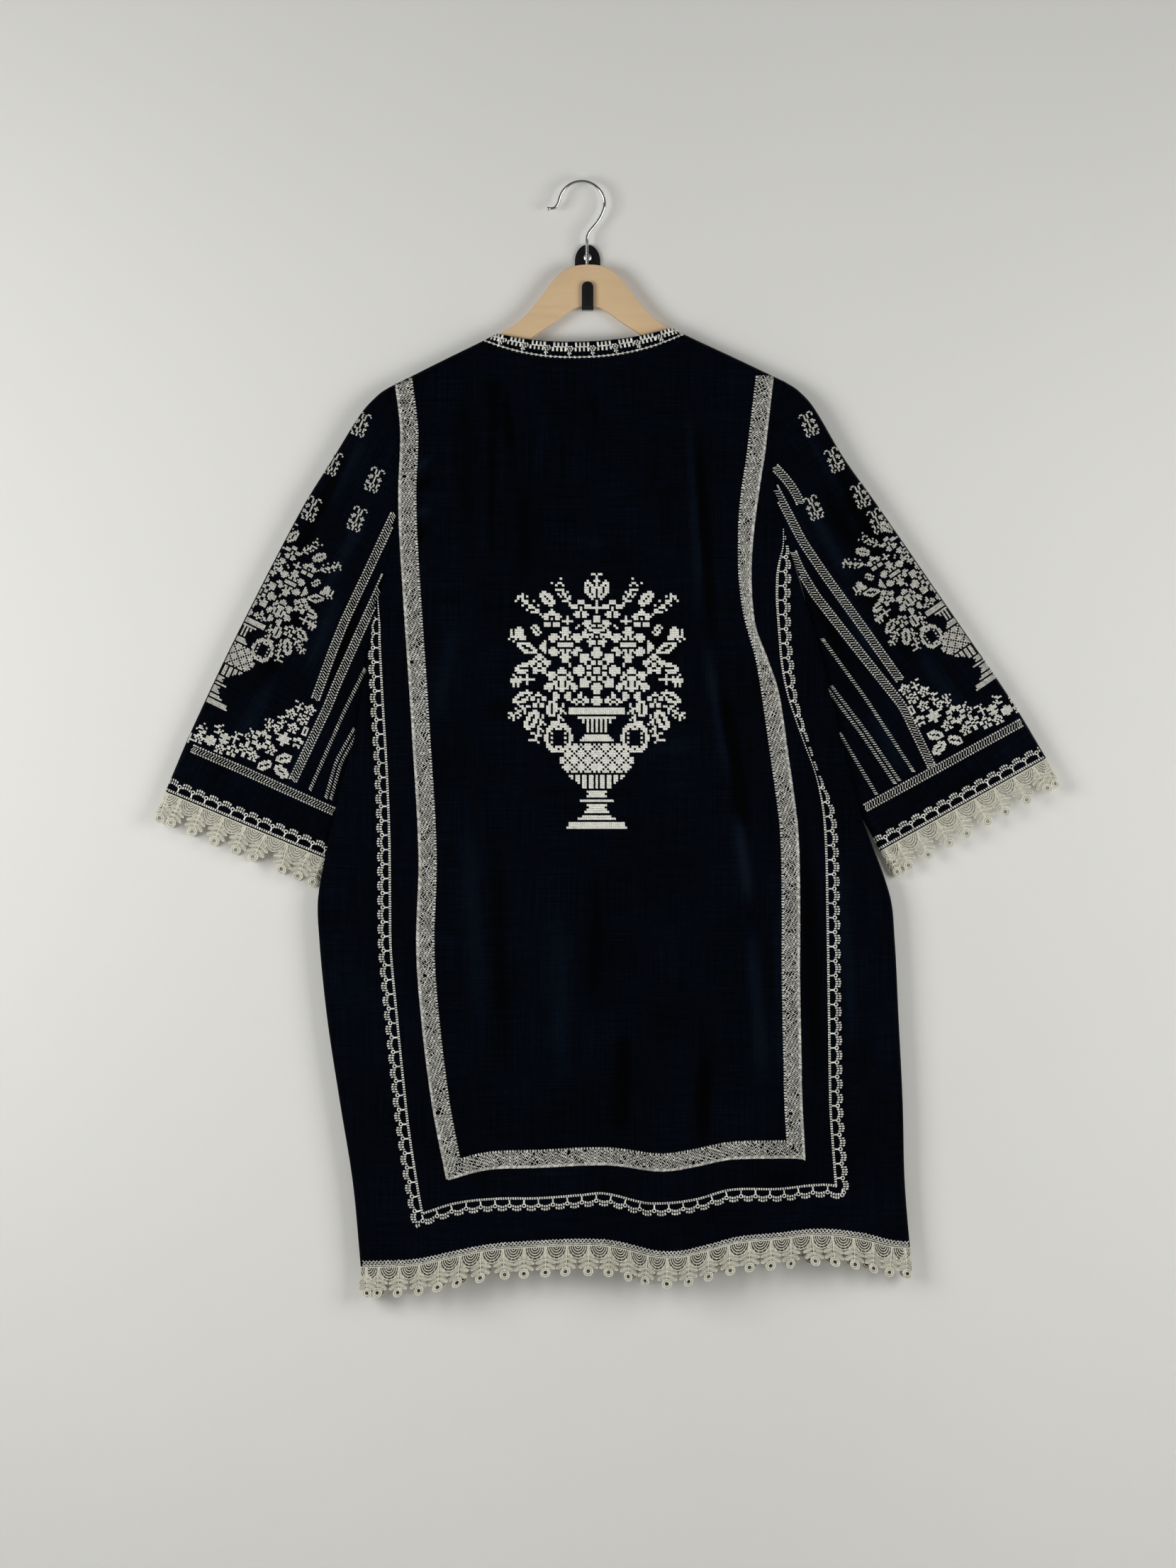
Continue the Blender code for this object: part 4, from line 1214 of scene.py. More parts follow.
def sew_hem_strip():
    stitches = []
    start = HEM[0].x + 2
    end = HEM[-1].x - 2
    lean = degrees(atan2(HEM_CROSS_TALL, HEM_CROSS))
    reach = hypot(HEM_CROSS, HEM_CROSS_TALL) * 1.05
    for step in range(int((end - start) / HEM_CROSS)):
        x = start + (step + 0.5) * HEM_CROSS
        drop = float(read(HEM, "drop", x))
        slope = degrees(atan2(drop - float(read(HEM, "drop", x + 1)), 1))
        stitches.append(bar(x, drop - HEM_CROSS_UP, slope + lean, reach, 1.1))
        stitches.append(bar(x, drop - HEM_CROSS_UP, slope - lean, reach, 1.1, BAR_OVER))
        for place in (x - HEM_CROSS / 4, x + HEM_CROSS / 4):
            low = float(read(HEM, "drop", place))
            stitches.append(bar(place, low - RUNNING_UP, slope + 8, 2.1, 1.5))
    return stitches


sew_panels("hem_strip", sew_hem_strip(), 15, DULL)

# %% [markdown]
# Flowers from formulas
#
# The middle of the back carries a large bouquet in counted crosses.  The chart here is a plain
# design of its own kind: an urn with round blooms, leaves and loose twigs, alike on both
# sides.  A bloom is drawn by a formula in a circle's own measures, its radius and its angle,
# and a leaf is an ellipse with its vein left open.  The same chart, worked smaller, goes on the
# sleeves.

# %% Measures of the bouquet
BLOOM = "across down radius petals"
LEAF = "across down length width angle"
TWIG = "across down length angle"
BLOOMS = table(BLOOM,
    (0, 44, 10, 8), (0, 26.5, 7, 7), (14, 32.5, 7.6, 6), (15.5, 50, 7.6, 7), (7, 16.5, 4.2, 5),
    (20, 21, 4.2, 5), (25.5, 41.5, 4.6, 5), (7.5, 58, 4, 5), (26, 57.5, 3.8, 5), (0, 57.5, 2.6, 4),
    (8, 36, 2.2, 4), (7.5, 25.5, 2.4, 4), (13.5, 41.5, 2.0, 4), (23, 33.5, 2.6, 4), (0, 35.5, 1.8, 4),
    (13, 22, 2.2, 4), (34.5, 27, 2.4, 5), (36, 49, 2.4, 5), (16.5, 6.5, 2.4, 5),
)
LEAVES = table(LEAF,
    (31, 34, 9, 4.8, 25), (32.5, 43, 8, 4.4, -12), (22, 12, 8, 4.6, 50), (3, 8, 9, 4.6, 70),
    (33, 56, 9, 4.8, -30), (29, 66, 10, 5.2, -62), (20, 61, 8, 4.4, -80), (27, 26, 6, 3.4, 60),
)
TWIGS = table(TWIG,
    (0, 19, 18, 90), (12, 15, 12, 62), (25, 19, 14, 40), (30, 31, 9, 20), (28, 48, 11, 2),
    (30, 60, 11, -28), (24, 64, 13, -72), (15, 59, 10, -70),
)
BOWL = table("down half",
    (61, 12), (63, 12), (66, 7), (70, 5.4), (74, 6.4), (78, 12), (83, 16), (87, 15.4), (92, 11), (96, 6),
    (98, 4), (100, 4), (102, 7), (104, 4), (107, 5), (110, 8), (112, 12), (114, 13),
)
BOWL_TOP = 61
BOWL_LINES = (64, 72, 76, 90, 97, 101, 103, 108, 111)
HANDLE_ACROSS = 17
HANDLE_DOWN = 74
CHART_HALF = 40
CHART_ROWS = 115
print("bouquet:", len(BLOOMS), "blooms,", len(LEAVES), "leaves and", len(TWIGS), "twigs")

# %% Chart of the bouquet
def draw_bloom(chart, across, down, bloom):
    """Petals round a heart. A large bloom has a second, inner ring of them."""
    x = across - bloom.across
    y = down - bloom.down
    radius = np.hypot(x, y) / bloom.radius
    turned = np.arctan2(x, -y) * bloom.petals
    is_large = bloom.radius > 6
    start = 0.58 if is_large else 0.40
    outer = (radius > start) & (radius < 0.92 + 0.14 * np.cos(turned)) & (np.cos(turned) > -0.72)
    inner = (radius > 0.26) & (radius < 0.48) & (np.cos(turned + pi) > -0.60)
    heart = radius < 0.16 + 0.06 * (not is_large)
    chart[radius < 1.14] = False
    chart |= outer | heart | (inner & is_large)


def draw_leaf(chart, across, down, leaf):
    x = across - leaf.across
    y = leaf.down - down
    angle = radians(leaf.angle)
    along = (x * cos(angle) + y * sin(angle)) / leaf.length * 2
    beside = (y * cos(angle) - x * sin(angle)) / leaf.width * 2
    shape = along ** 2 + beside ** 2
    chart[shape < 1.8] = False
    vein = (np.abs(beside) * leaf.width < 1.0) & (along > -0.6) & (along < 0.6)
    chart |= (shape < 1) & ~vein


def dot(chart, across, down, x, y):
    chart |= (np.abs(across - x) < 0.5) & (np.abs(down - y) < 0.5)


def draw_twig(chart, across, down, twig):
    """A stem with a pair of buds at every third stitch."""
    angle = radians(twig.angle)
    for step in range(int(twig.length)):
        x = twig.across + step * cos(angle)
        y = twig.down - step * sin(angle)
        dot(chart, across, down, x, y)
        if step % 3 == 2:
            for lean in (-1, 1):
                side = angle + radians(58) * lean
                for reach in (1.2, 2.4):
                    dot(chart, across, down, x + reach * cos(side), y - reach * sin(side))


def draw_plants(chart, across, down, twigs, leaves, blooms):
    for twig in twigs:
        draw_twig(chart, across, down, twig)
    for leaf in leaves:
        draw_leaf(chart, across, down, leaf)
    for bloom in blooms:
        draw_bloom(chart, across, down, bloom)


def draw_bowl(chart, across, down):
    half = read(BOWL, "half", down)
    chart[(np.abs(across) <= half + 1.5) & (down >= BOWL_TOP - 1)] = False
    inside = (np.abs(across) <= half) & (down >= BOWL_TOP)
    diamonds = (np.abs(across) + down) % 6 == 1
    diamonds |= (np.abs(across) - down) % 6 == 1
    belly = (down > 76) & (down < 90) & diamonds
    flutes = (down > 90) & (down < 97) & (np.abs(across) % 3 == 1)
    collar = (down > 65) & (down < 72) & (across % 2 == 1)
    chart |= inside & ~np.isin(down, BOWL_LINES) & ~(belly | flutes | collar)
    loop = np.hypot(np.abs(across) - HANDLE_ACROSS, (down - HANDLE_DOWN) * 0.9)
    handle = (np.abs(loop - 5.4) < 0.8) | ((np.abs(loop - 3.4) < 0.6) & (down % 2 == 0))
    chart |= handle & (np.abs(across) > half + 0.5)


def bouquet_chart():
    down, across = np.mgrid[0:CHART_ROWS, -CHART_HALF:CHART_HALF + 1]
    chart = np.zeros(down.shape, bool)
    draw_plants(chart, across, down, TWIGS, LEAVES, sorted(BLOOMS, key=lambda bloom: bloom.radius))
    draw_bowl(chart, across, down)
    chart[:, :CHART_HALF] = chart[:, :CHART_HALF:-1]
    return chart


bouquet = bouquet_chart()
print("bouquet:", int(bouquet.sum()), "crosses,", bouquet.shape[1], "wide and", bouquet.shape[0], "tall")

# %% Sew the bouquet on the back
MOTIF_X = 9.0
MOTIF_TOP = 290.0
MOTIF_PITCH = 2.2
CHART_WIDTH = 0.52


def sew_chart(chart, place, size, angle=0.0):
    stitches = []
    for row, column in zip(*np.nonzero(chart)):
        x, drop = place(column - chart.shape[1] // 2, row)
        stitches += cross(x, drop, size, angle, size * CHART_WIDTH)
    return stitches


def motif_place(column, row):
    return MOTIF_X + column * MOTIF_PITCH, MOTIF_TOP + row * MOTIF_PITCH


middle_motif = sew_chart(bouquet, motif_place, MOTIF_PITCH)
embroidery["back_cloth"].append(sew("bouquet_back", panels["back"], "back", middle_motif, 17, BRIGHT))

# %% [markdown]
# Striped sleeves
#
# Each sleeve has stripes that run beside its outer fold, a few sprigs below the shoulder, half of
# the smaller bouquet on each side of the fold, and a ladder border above the cuff.  A stripe is
# one or two rows of slanted rungs, and a ladder has a line of beads along both sides too.

# %% Stripes and the cuff's ladder
SPOT = "x drop"
Stripe = namedtuple("Stripe", "kind spots")
STRIPES = {
    "left": [
        Stripe("ladder", table(SPOT,
            (-188.5, 231), (-213, 283), (-239, 338), (-252, 371), (-268.5, 417),
        )),
        Stripe("ladder", table(SPOT,
            (-197.5, 291), (-220.6, 341), (-246, 398), (-256, 423), (-291.5, 498),
        )),
        Stripe("rungs", table(SPOT, (-217.8, 382.8), (-240, 428), (-274.4, 506.7))),
        Stripe("double", table(SPOT, (-226.2, 442.7), (-245, 476), (-256.1, 515.7))),
        Stripe("border", table(SPOT, (-391, 462), (-340, 484), (-247.1, 526.2))),
    ],
    "right": [
        Stripe("ladder", table(SPOT, (182.1, 185), (195.9, 199.4), (206, 214.4), (210.6, 226))),
        Stripe("ladder", table(SPOT,
            (182, 204), (195.9, 230.3), (210.8, 259.1), (235.3, 295.3), (272, 346), (309.5, 399),
        )),
        Stripe("ladder", table(SPOT,
            (200.5, 268), (208, 286), (224, 312.3), (266.3, 366.6), (310, 421.5), (328.5, 460),
            (340, 484),
        )),
        Stripe("rungs", table(SPOT, (229.3, 352.9), (274, 414.6), (321.9, 488))),
        Stripe("double", table(SPOT, (236.2, 400.9), (272, 448), (306.5, 499))),
        Stripe("rungs", table(SPOT, (246.5, 445.4), (266, 478), (285.9, 511))),
        Stripe("border", table(SPOT, (428.7, 436.4), (360, 474), (271, 522.7))),
    ],
}
RUNG_PITCH = 2.85
BEAD_PITCH = 2.85
StripeRow = namedtuple("StripeRow", "offset lean length width pitch")
BEADS = (0, 2.0, 1.1, BEAD_PITCH)
STRIPE_ROWS = {
    "ladder": [StripeRow(-3.6, *BEADS), StripeRow(0, 58, 5.6, 0.8, RUNG_PITCH), StripeRow(3.6, *BEADS)],
    "rungs": [StripeRow(0, 62, 4.0, 1.0, 2.6)],
    "double": [StripeRow(-2.5, 62, 3.8, 1.0, 2.6), StripeRow(2.5, 62, 3.8, 1.0, 2.6)],
    "border": [StripeRow(-3.4, *BEADS), StripeRow(0, 64, 5.0, 0.85, RUNG_PITCH), StripeRow(3.4, *BEADS)],
}


def sew_stripe(stripe):
    spots = np.array(stripe.spots, float)
    lengths = run_lengths(spots)

    def spot_at(along):
        """A rounded course through the stripe's spots."""
        near = [along - 6, along, along + 6]
        return np.array([np.interp(near, lengths, spots[:, axis]).mean() for axis in (0, 1)])

    stitches = []
    for row in STRIPE_ROWS[stripe.kind]:
        for step in range(int(lengths[-1] / row.pitch)):
            along = (step + 0.5) * row.pitch
            x, drop = spot_at(along)
            run, fall = spot_at(along + 1) - spot_at(along - 1)
            reach = hypot(run, fall)
            angle = slant(run, fall)
            x -= row.offset * fall / reach
            drop += row.offset * run / reach
            stitches.append(bar(x, drop, angle + row.lean, row.length, row.width))
            if row.lean == 0:
                stitches.append(bar(x, drop, angle + 80, row.length, row.width, BAR_OVER))
    return stitches


print("stripes:", len(STRIPES["left"]), "on the left sleeve,", len(STRIPES["right"]), "on the right one")

# %% Sprigs and the small bouquet
SPRIG = [
    ".##...##.",
    "#..#.#..#",
    "#..#.#...",
    "...#.#...",
    "....##...",
    ".##.#..#.",
    "###.#.###",
    ".#..#..#.",
    "....#....",
    "##..#..##",
    "####.#.#.",
    "...#.#.#.",
    "#..##...#",
    ".#..#.#.#",
    ".##.#..#.",
]
SPRIGS = {
    "left": table(SPOT, (-222, 143), (-250, 181), (-271, 226), (-208.8, 197.7), (-226, 236)),
    "right": table(SPOT, (217, 143), (242, 178), (267.8, 213), (284, 238), (221.5, 225)),
}
SPRIG_PITCH = 1.62
SPRIG_LEAN = 24.0
SPRIG_ABOVE = 6         # rows of a sprig above its spot


def chart_of(rows):
    return np.array([[mark == "#" for mark in row] for row in rows])


def sprig_place(spot, lean):
    """Places a sprig's cells about a spot, turned from upright by an angle in degrees."""
    angle = radians(lean)

    def place(column, row):
        row = row - SPRIG_ABOVE
        return (spot.x + SPRIG_PITCH * (column * cos(angle) - row * sin(angle)),
                spot.drop + SPRIG_PITCH * (column * sin(angle) + row * cos(angle)))

    return place


BOUQUET_PARTS = (0.36, 0.9)     # where the small bouquet starts and ends down a sleeve
SMALL_PITCH = 1.72
FOLD_CLEAR = 0.8                # its middle column lies this far from the fold


def fold_place(side):
    """Places the small bouquet about a sleeve's outer fold, with its middle column at the fold."""
    start, end = (np.array(outer_fold(side, part), float) for part in BOUQUET_PARTS)
    length = np.linalg.norm(end - start)
    run = (end - start) / length
    inward = np.array([-outward(side) * run[1], outward(side) * run[0]])

    def place(column, row):
        middle = start + run * row * SMALL_PITCH
        part = float(np.interp(row * SMALL_PITCH / length, (0, 1), BOUQUET_PARTS))
        middle = middle + inward * inward.dot(np.array(outer_fold(side, part), float) - middle)
        return middle + inward * (abs(column) * SMALL_PITCH + FOLD_CLEAR)

    return place, slant(*run) + 90


def sew_sleeve(side):
    stitches = []
    for stripe in STRIPES[side]:
        stitches += sew_stripe(stripe)
    lean = -outward(side) * SPRIG_LEAN
    sprig = chart_of(SPRIG)
    if side == "right":
        sprig = sprig[:, ::-1]
    for spot in SPRIGS[side]:
        stitches += sew_chart(sprig, sprig_place(spot, lean), SPRIG_PITCH, -lean)
    place, angle = fold_place(side)
    half = bouquet.copy()
    half[:, :CHART_HALF] = False
    stitches += sew_chart(half, place, SMALL_PITCH, angle)
    return stitches


for side in SIDE_KEYS:
    sew_both_halves("sleeve_stitches", side, sew_sleeve(side), 20, DULL)

# %% [markdown]
# Cuff edging and corner garlands
#
# The narrow border comes back above the lace of each cuff, with its blocks upwards.  A garland
# of blooms and leaves fills the corner between the ladder border and the last stripe: it is
# high in the corner and runs out thin towards the outer fold.

# %% Border above the cuff
CUFF_LINE = 2.2         # the beaded line's height above the lace


def cuff_line(side):
    """The cuff's edge from its left to its right corner, as x and drop."""
    ends = [sleeve_point(side, "back", 1.0, across) / MM for across in (0.0, 1.0)]
    ends.sort(key=lambda point: point[0])
    return [np.array([point[0], -point[2]]) for point in ends]


def sew_cuff(side):
    start, end = cuff_line(side)
    length = np.linalg.norm(end - start)
    run = (end - start) / length
    up = np.array([run[1], -run[0]])
    angle = slant(*run)
    stitches = []
    for row in range(int(length / STITCH_PITCH)):

        def place(across):
            spot = start + run * (row + 0.5) * STITCH_PITCH + up * (CUFF_LINE + BEADED_LINE - across)
            return spot[0], spot[1], angle

        stitches += border_row(place, row)
    return stitches


print("left cuff from", np.round(cuff_line("left")[0], 1), "to", np.round(cuff_line("left")[1], 1))

# %% Garlands in the corners of the sleeves
GARLAND_BLOOMS = table(BLOOM,
    (14, 10, 3.2, 5), (6.5, 10, 3.6, 6), (5, 4, 3.2, 5), (10, 17, 3.2, 5), (12.5, 24.5, 3.8, 6),
    (4.5, 23.5, 3.0, 5), (17, 33, 3.0, 5), (24, 29.5, 5.4, 8), (30.5, 38, 4.2, 6), (37, 41.5, 3.8, 5),
    (25, 40, 3.0, 5), (43.5, 36.5, 3.4, 5), (44, 43, 3.0, 5), (50.5, 40.5, 3.4, 6), (57, 42, 3.0, 5),
    (62, 44, 2.4, 4),
)
GARLAND_LEAVES = table(LEAF,
    (17, 42.2, 9, 5.2, -35), (8.4, 34.5, 9.5, 5.4, 150), (7, 42, 9.5, 5.4, 21), (18, 21, 6, 3.6, 60),
    (31, 31, 6, 3.4, 30), (3, 16, 6, 3.4, 80),
)
GARLAND_TWIGS = table(TWIG,
    (22, 24, 8, 75), (31, 33, 7, 100), (38, 37, 7, 95), (16, 19, 7, 70), (47, 37, 7, 70), (54, 39, 7, 40),
    (11, 8, 6, 85), (60, 42, 6, 10),
)
WREATH_HEART = 2.4
GARLAND_SIZE = (66, 48)
GARLAND_PITCH = 1.75
Garland = namedtuple("Garland", "x drop x_away drop_away")
GARLANDS = {"left": Garland(-293, 498.5, -0.928, -0.372), "right": Garland(338.7, 476, 0.889, -0.458)}


def garland_chart():
    down, across = np.mgrid[0:GARLAND_SIZE[1], 0:GARLAND_SIZE[0]]
    chart = np.zeros(down.shape, bool)
    draw_plants(chart, across, down, GARLAND_TWIGS, GARLAND_LEAVES, GARLAND_BLOOMS)
    wreath = max(GARLAND_BLOOMS, key=lambda bloom: bloom.radius)
    chart[np.hypot(across - wreath.across, down - wreath.down) < WREATH_HEART] = False
    return chart


def sew_garland(side, chart):
    corner = GARLANDS[side]
    away = np.array([corner.x_away, corner.drop_away])
    up = np.array([away[1], -away[0]]) * outward(side)
    angle = slant(*away)
    stitches = []
    for row, column in zip(*np.nonzero(chart)):
        place = np.array([corner.x, corner.drop]) + away * column * GARLAND_PITCH
        place = place + up * (GARLAND_SIZE[1] - 1 - row) * GARLAND_PITCH
        stitches += cross(*place, GARLAND_PITCH, angle, GARLAND_PITCH * CHART_WIDTH)
    return stitches


garland = garland_chart()
for side in SIDE_KEYS:
    sew_both_halves("cuff_stitches", side, sew_cuff(side) + sew_garland(side, garland), 30)

# %% [markdown]
# Neckband stitches
#
# The neckband's repeat is about 23.6 mm long: a block of four bars in two rows, with short links
# between its bars, then a small flower with a forked stalk.  A line of small crosses runs below
# them along the seam.

# %% Neckband stitches
NECK_REPEAT = 23.6
NECK_BARS = 4
NECK_BAR_PITCH = 4.15
NECK_BEAD_PITCH = 4.3
NECK_SAMPLES = 200
NEAR = 0.004            # a step along the band, to find its direction
FIRST_BAR = 2.4
BAR_ROWS = (0.83, 0.56)
LINK_UP = 0.70
FLOWER_AT = 19.2
FLOWER_UP = 0.60
PETALS = 6
FLOWER_MARKS = table(
    "along height lean length width",
    (0, FLOWER_UP, 0, 1.8, 1.2), (-1.1, 0.35, 60, 2.6, 1.3), (1.1, 0.35, -60, 2.6, 1.3),
    (0, 0.26, 90, 2.8, 1.2),
)
NECK_BEAD_UP = 0.125


def neck_place(face, part, height):
    point = collar_point(face, part, height) / MM
    return float(point[0]), float(-point[2])


def sew_neckband(face):
    even_parts = np.linspace(0, 1, NECK_SAMPLES)
    steps = np.linalg.norm(np.diff(collar_point(face, even_parts, 0.5) / MM, axis=0), axis=1)
    length = float(steps.sum())
    repeats = round(length / NECK_REPEAT)
    pitch = length / repeats
    parts = np.concatenate([[0], np.cumsum(steps)]) / length
    stitches = []

    def put(along, height, lean, reach, width, lift=0.0):
        part = float(np.interp(along / length, parts, even_parts))
        x, drop = neck_place(face, part, height)
        ahead_x, ahead_drop = neck_place(face, min(part + NEAR, 1.0), height)
        behind_x, behind_drop = neck_place(face, max(part - NEAR, 0.0), height)
        angle = slant(ahead_x - behind_x, ahead_drop - behind_drop)
        stitches.append(bar(x, drop, angle + lean, reach, width, lift))

    for repeat in range(repeats):
        start = repeat * pitch
        for column in range(NECK_BARS):
            along = start + FIRST_BAR + column * NECK_BAR_PITCH
            for height in BAR_ROWS:
                put(along, height, 90, 4.3, 2.2)
            if column < NECK_BARS - 1:
                put(along + NECK_BAR_PITCH / 2, LINK_UP, 0, NECK_BAR_PITCH, 1.2)
        flower = start + FLOWER_AT
        for petal in range(PETALS):
            spin = radians(petal * 360 / PETALS)
            put(flower + 2.7 * cos(spin), FLOWER_UP + 0.13 * sin(spin), degrees(spin) + 60, 2.3, 1.4)
        for mark in FLOWER_MARKS:
            put(flower + mark.along, mark.height, mark.lean, mark.length, mark.width)
        beads = int(pitch / NECK_BEAD_PITCH)
        for step in range(beads):
            along = start + (step + 0.5) * pitch / beads
            put(along, NECK_BEAD_UP, 50, 2.7, 1.1)
            put(along, NECK_BEAD_UP, -50, 2.7, 1.1, BAR_OVER)
            put(along + NECK_BEAD_PITCH / 2, NECK_BEAD_UP, 0, 2.6, 0.9)
    return stitches


for face, seed in (("back", 41), ("front", 42)):
    piece = sew("neckband_stitches_" + face, neckbands[face], face, sew_neckband(face), seed)
    embroidery["neckband_cloth_" + face].append(piece)

# %% [markdown]
# Two parts of the lace
#
# Guipure lace is all cord.  Fans of five arcs hang from the edge, and between two fans hangs a
# pendant: a stem with three pairs of leaves and a double ring at its foot.  Each ring starts as a
# torus with few sides, and half of it is deleted for an arc.  A straight cord is a cylinder.  A
# thin near-black disc is painted shade behind the fan's arcs, inside the ring and between the
# stems, and a mid-toned disc fills each leaf.  The fan and the pendant are each modelled flat
# once, and copies are then hung from the cloth's edge.

# %% Measures of a fan and a pendant
LACE_REPEAT = 21.5
CORD_SIDES = 5
CORD = 0.56             # radius of the cord
FINE = 0.22             # radius of the thread that ties the cords together
DISC_THICK = 0.3
CORD_TONE = 0.78
LEAF_TONE = 0.35
# tone of the painted shade: a near-black disc behind the lace where its gaps fall in shadow
PAINTED_SHADE_TONE = -0.3
# the cuffs' painted shade discs are kept lighter, as painted light from the wall behind their gaps
CUFF_PAINTED_SHADE = 0.07       # the cuffs' lace hangs clear of the cloth, so light comes through it
Ring = namedtuple("Ring", "along down wide tall turn_by is_arc segments cord")
Strand = namedtuple("Strand", "along down along_end down_end radius")
FlatDisc = namedtuple("FlatDisc", "along down wide tall turn_by is_half tone")
FAN_TOP = 0.9
FAN_ARCS = table("wide tall", (1.8, 2.2), (3.8, 4.8), (5.8, 7.4), (7.8, 10.0), (9.9, 12.7))
FAN_RINGS = [
    Ring(0, FAN_TOP, arc.wide, arc.tall, 0, True, 14 + round(1.6 * arc.wide), CORD) for arc in FAN_ARCS
]
FAN_STRANDS = [Strand(start, FAN_TOP, start + 5.4, FAN_TOP, CORD) for start in (-10.7, -5.35, 0, 5.35)]
SPOKES = range(20, 180, 28)     # angles of the fine spokes between the two outer arcs
for spoke in SPOKES:
    across = cos(radians(spoke))
    fall = sin(radians(spoke))
    FAN_STRANDS.append(Strand(
        6.9 * across, FAN_TOP + 8.9 * fall, 9.6 * across, FAN_TOP + 12.4 * fall, FINE,
    ))
# a near-black disc of painted shade behind the fan's arcs
FAN_SHADE_DISCS = [FlatDisc(0, FAN_TOP, 9.7, 12.5, 0, True, PAINTED_SHADE_TONE)]
RING_DOWN = 26.2        # middle of the pendant's double ring
STEM_CORD = CORD * 0.8
LEAF_CORD = CORD * 1.05
VEIN_CORD = CORD * 0.7
PENDANT_STRANDS = [
    Strand(0, 0.4, 0, 21.6, CORD), Strand(-1.1, 0.4, -1.1, 12.0, STEM_CORD),
    Strand(1.1, 0.4, 1.1, 12.0, STEM_CORD),
]
PENDANT_RINGS = [
    Ring(0, RING_DOWN, 4.3, 4.2, 0, False, 22, 0.85), Ring(0, RING_DOWN, 2.6, 2.5, 0, False, 18, 0.85),
]
# painted shade inside the double ring and between the stems at the top; each leaf gets a mid-toned fill
PENDANT_LEAF_FILLS_AND_SHADE = [
    FlatDisc(0, RING_DOWN, 4.2, 4.1, 0, False, PAINTED_SHADE_TONE), FlatDisc(0, 7.0, 1.8, 6.0, 0, False, PAINTED_SHADE_TONE),
]
PENDANT_LEAVES = table("away down long wide droop",
    (3.0, 10.6, 2.9, 1.3, 40), (5.2, 15.2, 4.8, 2.0, 22), (5.0, 20.4, 4.7, 2.1, 32),
)
for leaf in PENDANT_LEAVES:
    across = leaf.long * cos(radians(leaf.droop))
    fall = leaf.long * sin(radians(leaf.droop))
    for hand in (-1, 1):
        place = (hand * leaf.away, leaf.down)
        turn_by = -hand * leaf.droop
        PENDANT_RINGS.append(Ring(*place, leaf.long, leaf.wide, turn_by, False, 14, LEAF_CORD))
        PENDANT_LEAF_FILLS_AND_SHADE.append(FlatDisc(*place, leaf.long * 0.95, leaf.wide * 0.9, turn_by, False, LEAF_TONE))
        PENDANT_STRANDS.append(Strand(
            hand * (leaf.away - across), leaf.down - fall,
            hand * (leaf.away + across), leaf.down + fall, VEIN_CORD,
        ))
print("cords of a fan:", len(FAN_RINGS) + len(FAN_STRANDS), "of a pendant:",
      len(PENDANT_RINGS) + len(PENDANT_STRANDS))

# %% Model a fan and a pendant
def modelled_part(piece, tone):
    """The points, faces and tones of a modelled part, which is then removed."""
    points = np.array([vertex.co for vertex in piece.data.vertices])
    faces = [list(face.vertices) for face in piece.data.polygons]
    bpy.data.objects.remove(piece)
    return points, faces, np.full(len(points), tone)


def put_in_place(piece, along, down, rise, turn_by):
    piece.rotation_euler = (0, 0, radians(turn_by))
    piece.location = (along, -down, rise)
    bpy.ops.object.transform_apply(location=True, rotation=True)


def select_upper_half(piece):
    select_where(piece, "verts", lambda vertex: vertex.co.y > 0.1)


def model_ring(ring):
    deselect()
    size = max(ring.wide, ring.tall)
    bpy.ops.mesh.primitive_torus_add(
        major_segments=ring.segments, minor_segments=CORD_SIDES, major_radius=1.0,
        minor_radius=ring.cord / size,
    )
    piece = bpy.context.object
    edit_all()
    if ring.is_arc:
        select_upper_half(piece)
        bpy.ops.mesh.delete(type="VERT")
        bpy.ops.mesh.select_all(action="SELECT")
        bpy.ops.mesh.region_to_loop()
        bpy.ops.mesh.edge_face_add()
        bpy.ops.mesh.select_all(action="SELECT")
    resize((ring.wide, ring.tall, size))
    bpy.ops.object.mode_set(mode="OBJECT")
    put_in_place(piece, ring.along, ring.down, 0.0, ring.turn_by)
    return modelled_part(piece, CORD_TONE)


def model_strand(strand):
    run = strand.along_end - strand.along
    fall = strand.down_end - strand.down
    deselect()
    bpy.ops.mesh.primitive_cylinder_add(vertices=CORD_SIDES, radius=strand.radius, depth=hypot(run, fall))
    piece = bpy.context.object
    piece.rotation_euler = (pi / 2, 0, atan2(-fall, run) - pi / 2)
    piece.location = (strand.along + run / 2, -strand.down - fall / 2, 0)
    bpy.ops.object.transform_apply(location=True, rotation=True)
    return modelled_part(piece, CORD_TONE)


# a thin flat disc: painted shade behind the lace's gaps, or a leaf's mid-toned fill
def model_flat_disc(flat_disc):
    deselect()
    ends = "TRIFAN" if flat_disc.is_half else "NGON"
    bpy.ops.mesh.primitive_cylinder_add(vertices=20, radius=1.0, depth=DISC_THICK, end_fill_type=ends)
    piece = bpy.context.object
    edit_all()
    if flat_disc.is_half:
        bpy.ops.mesh.subdivide(number_cuts=1)
        select_upper_half(piece)
        resize((1, 0, 1))
        bpy.ops.mesh.select_all(action="SELECT")
    resize((flat_disc.wide, flat_disc.tall, 1))
    bpy.ops.object.mode_set(mode="OBJECT")
    put_in_place(piece, flat_disc.along, flat_disc.down, -CORD / 2, flat_disc.turn_by)
    return modelled_part(piece, flat_disc.tone)


def join_parts(parts):
    faces = []
    first = 0
    for points, part_faces, _ in parts:
        faces += [[first + corner for corner in face] for face in part_faces]
        first += len(points)
    return np.concatenate([part[0] for part in parts]), faces, np.concatenate([part[2] for part in parts])


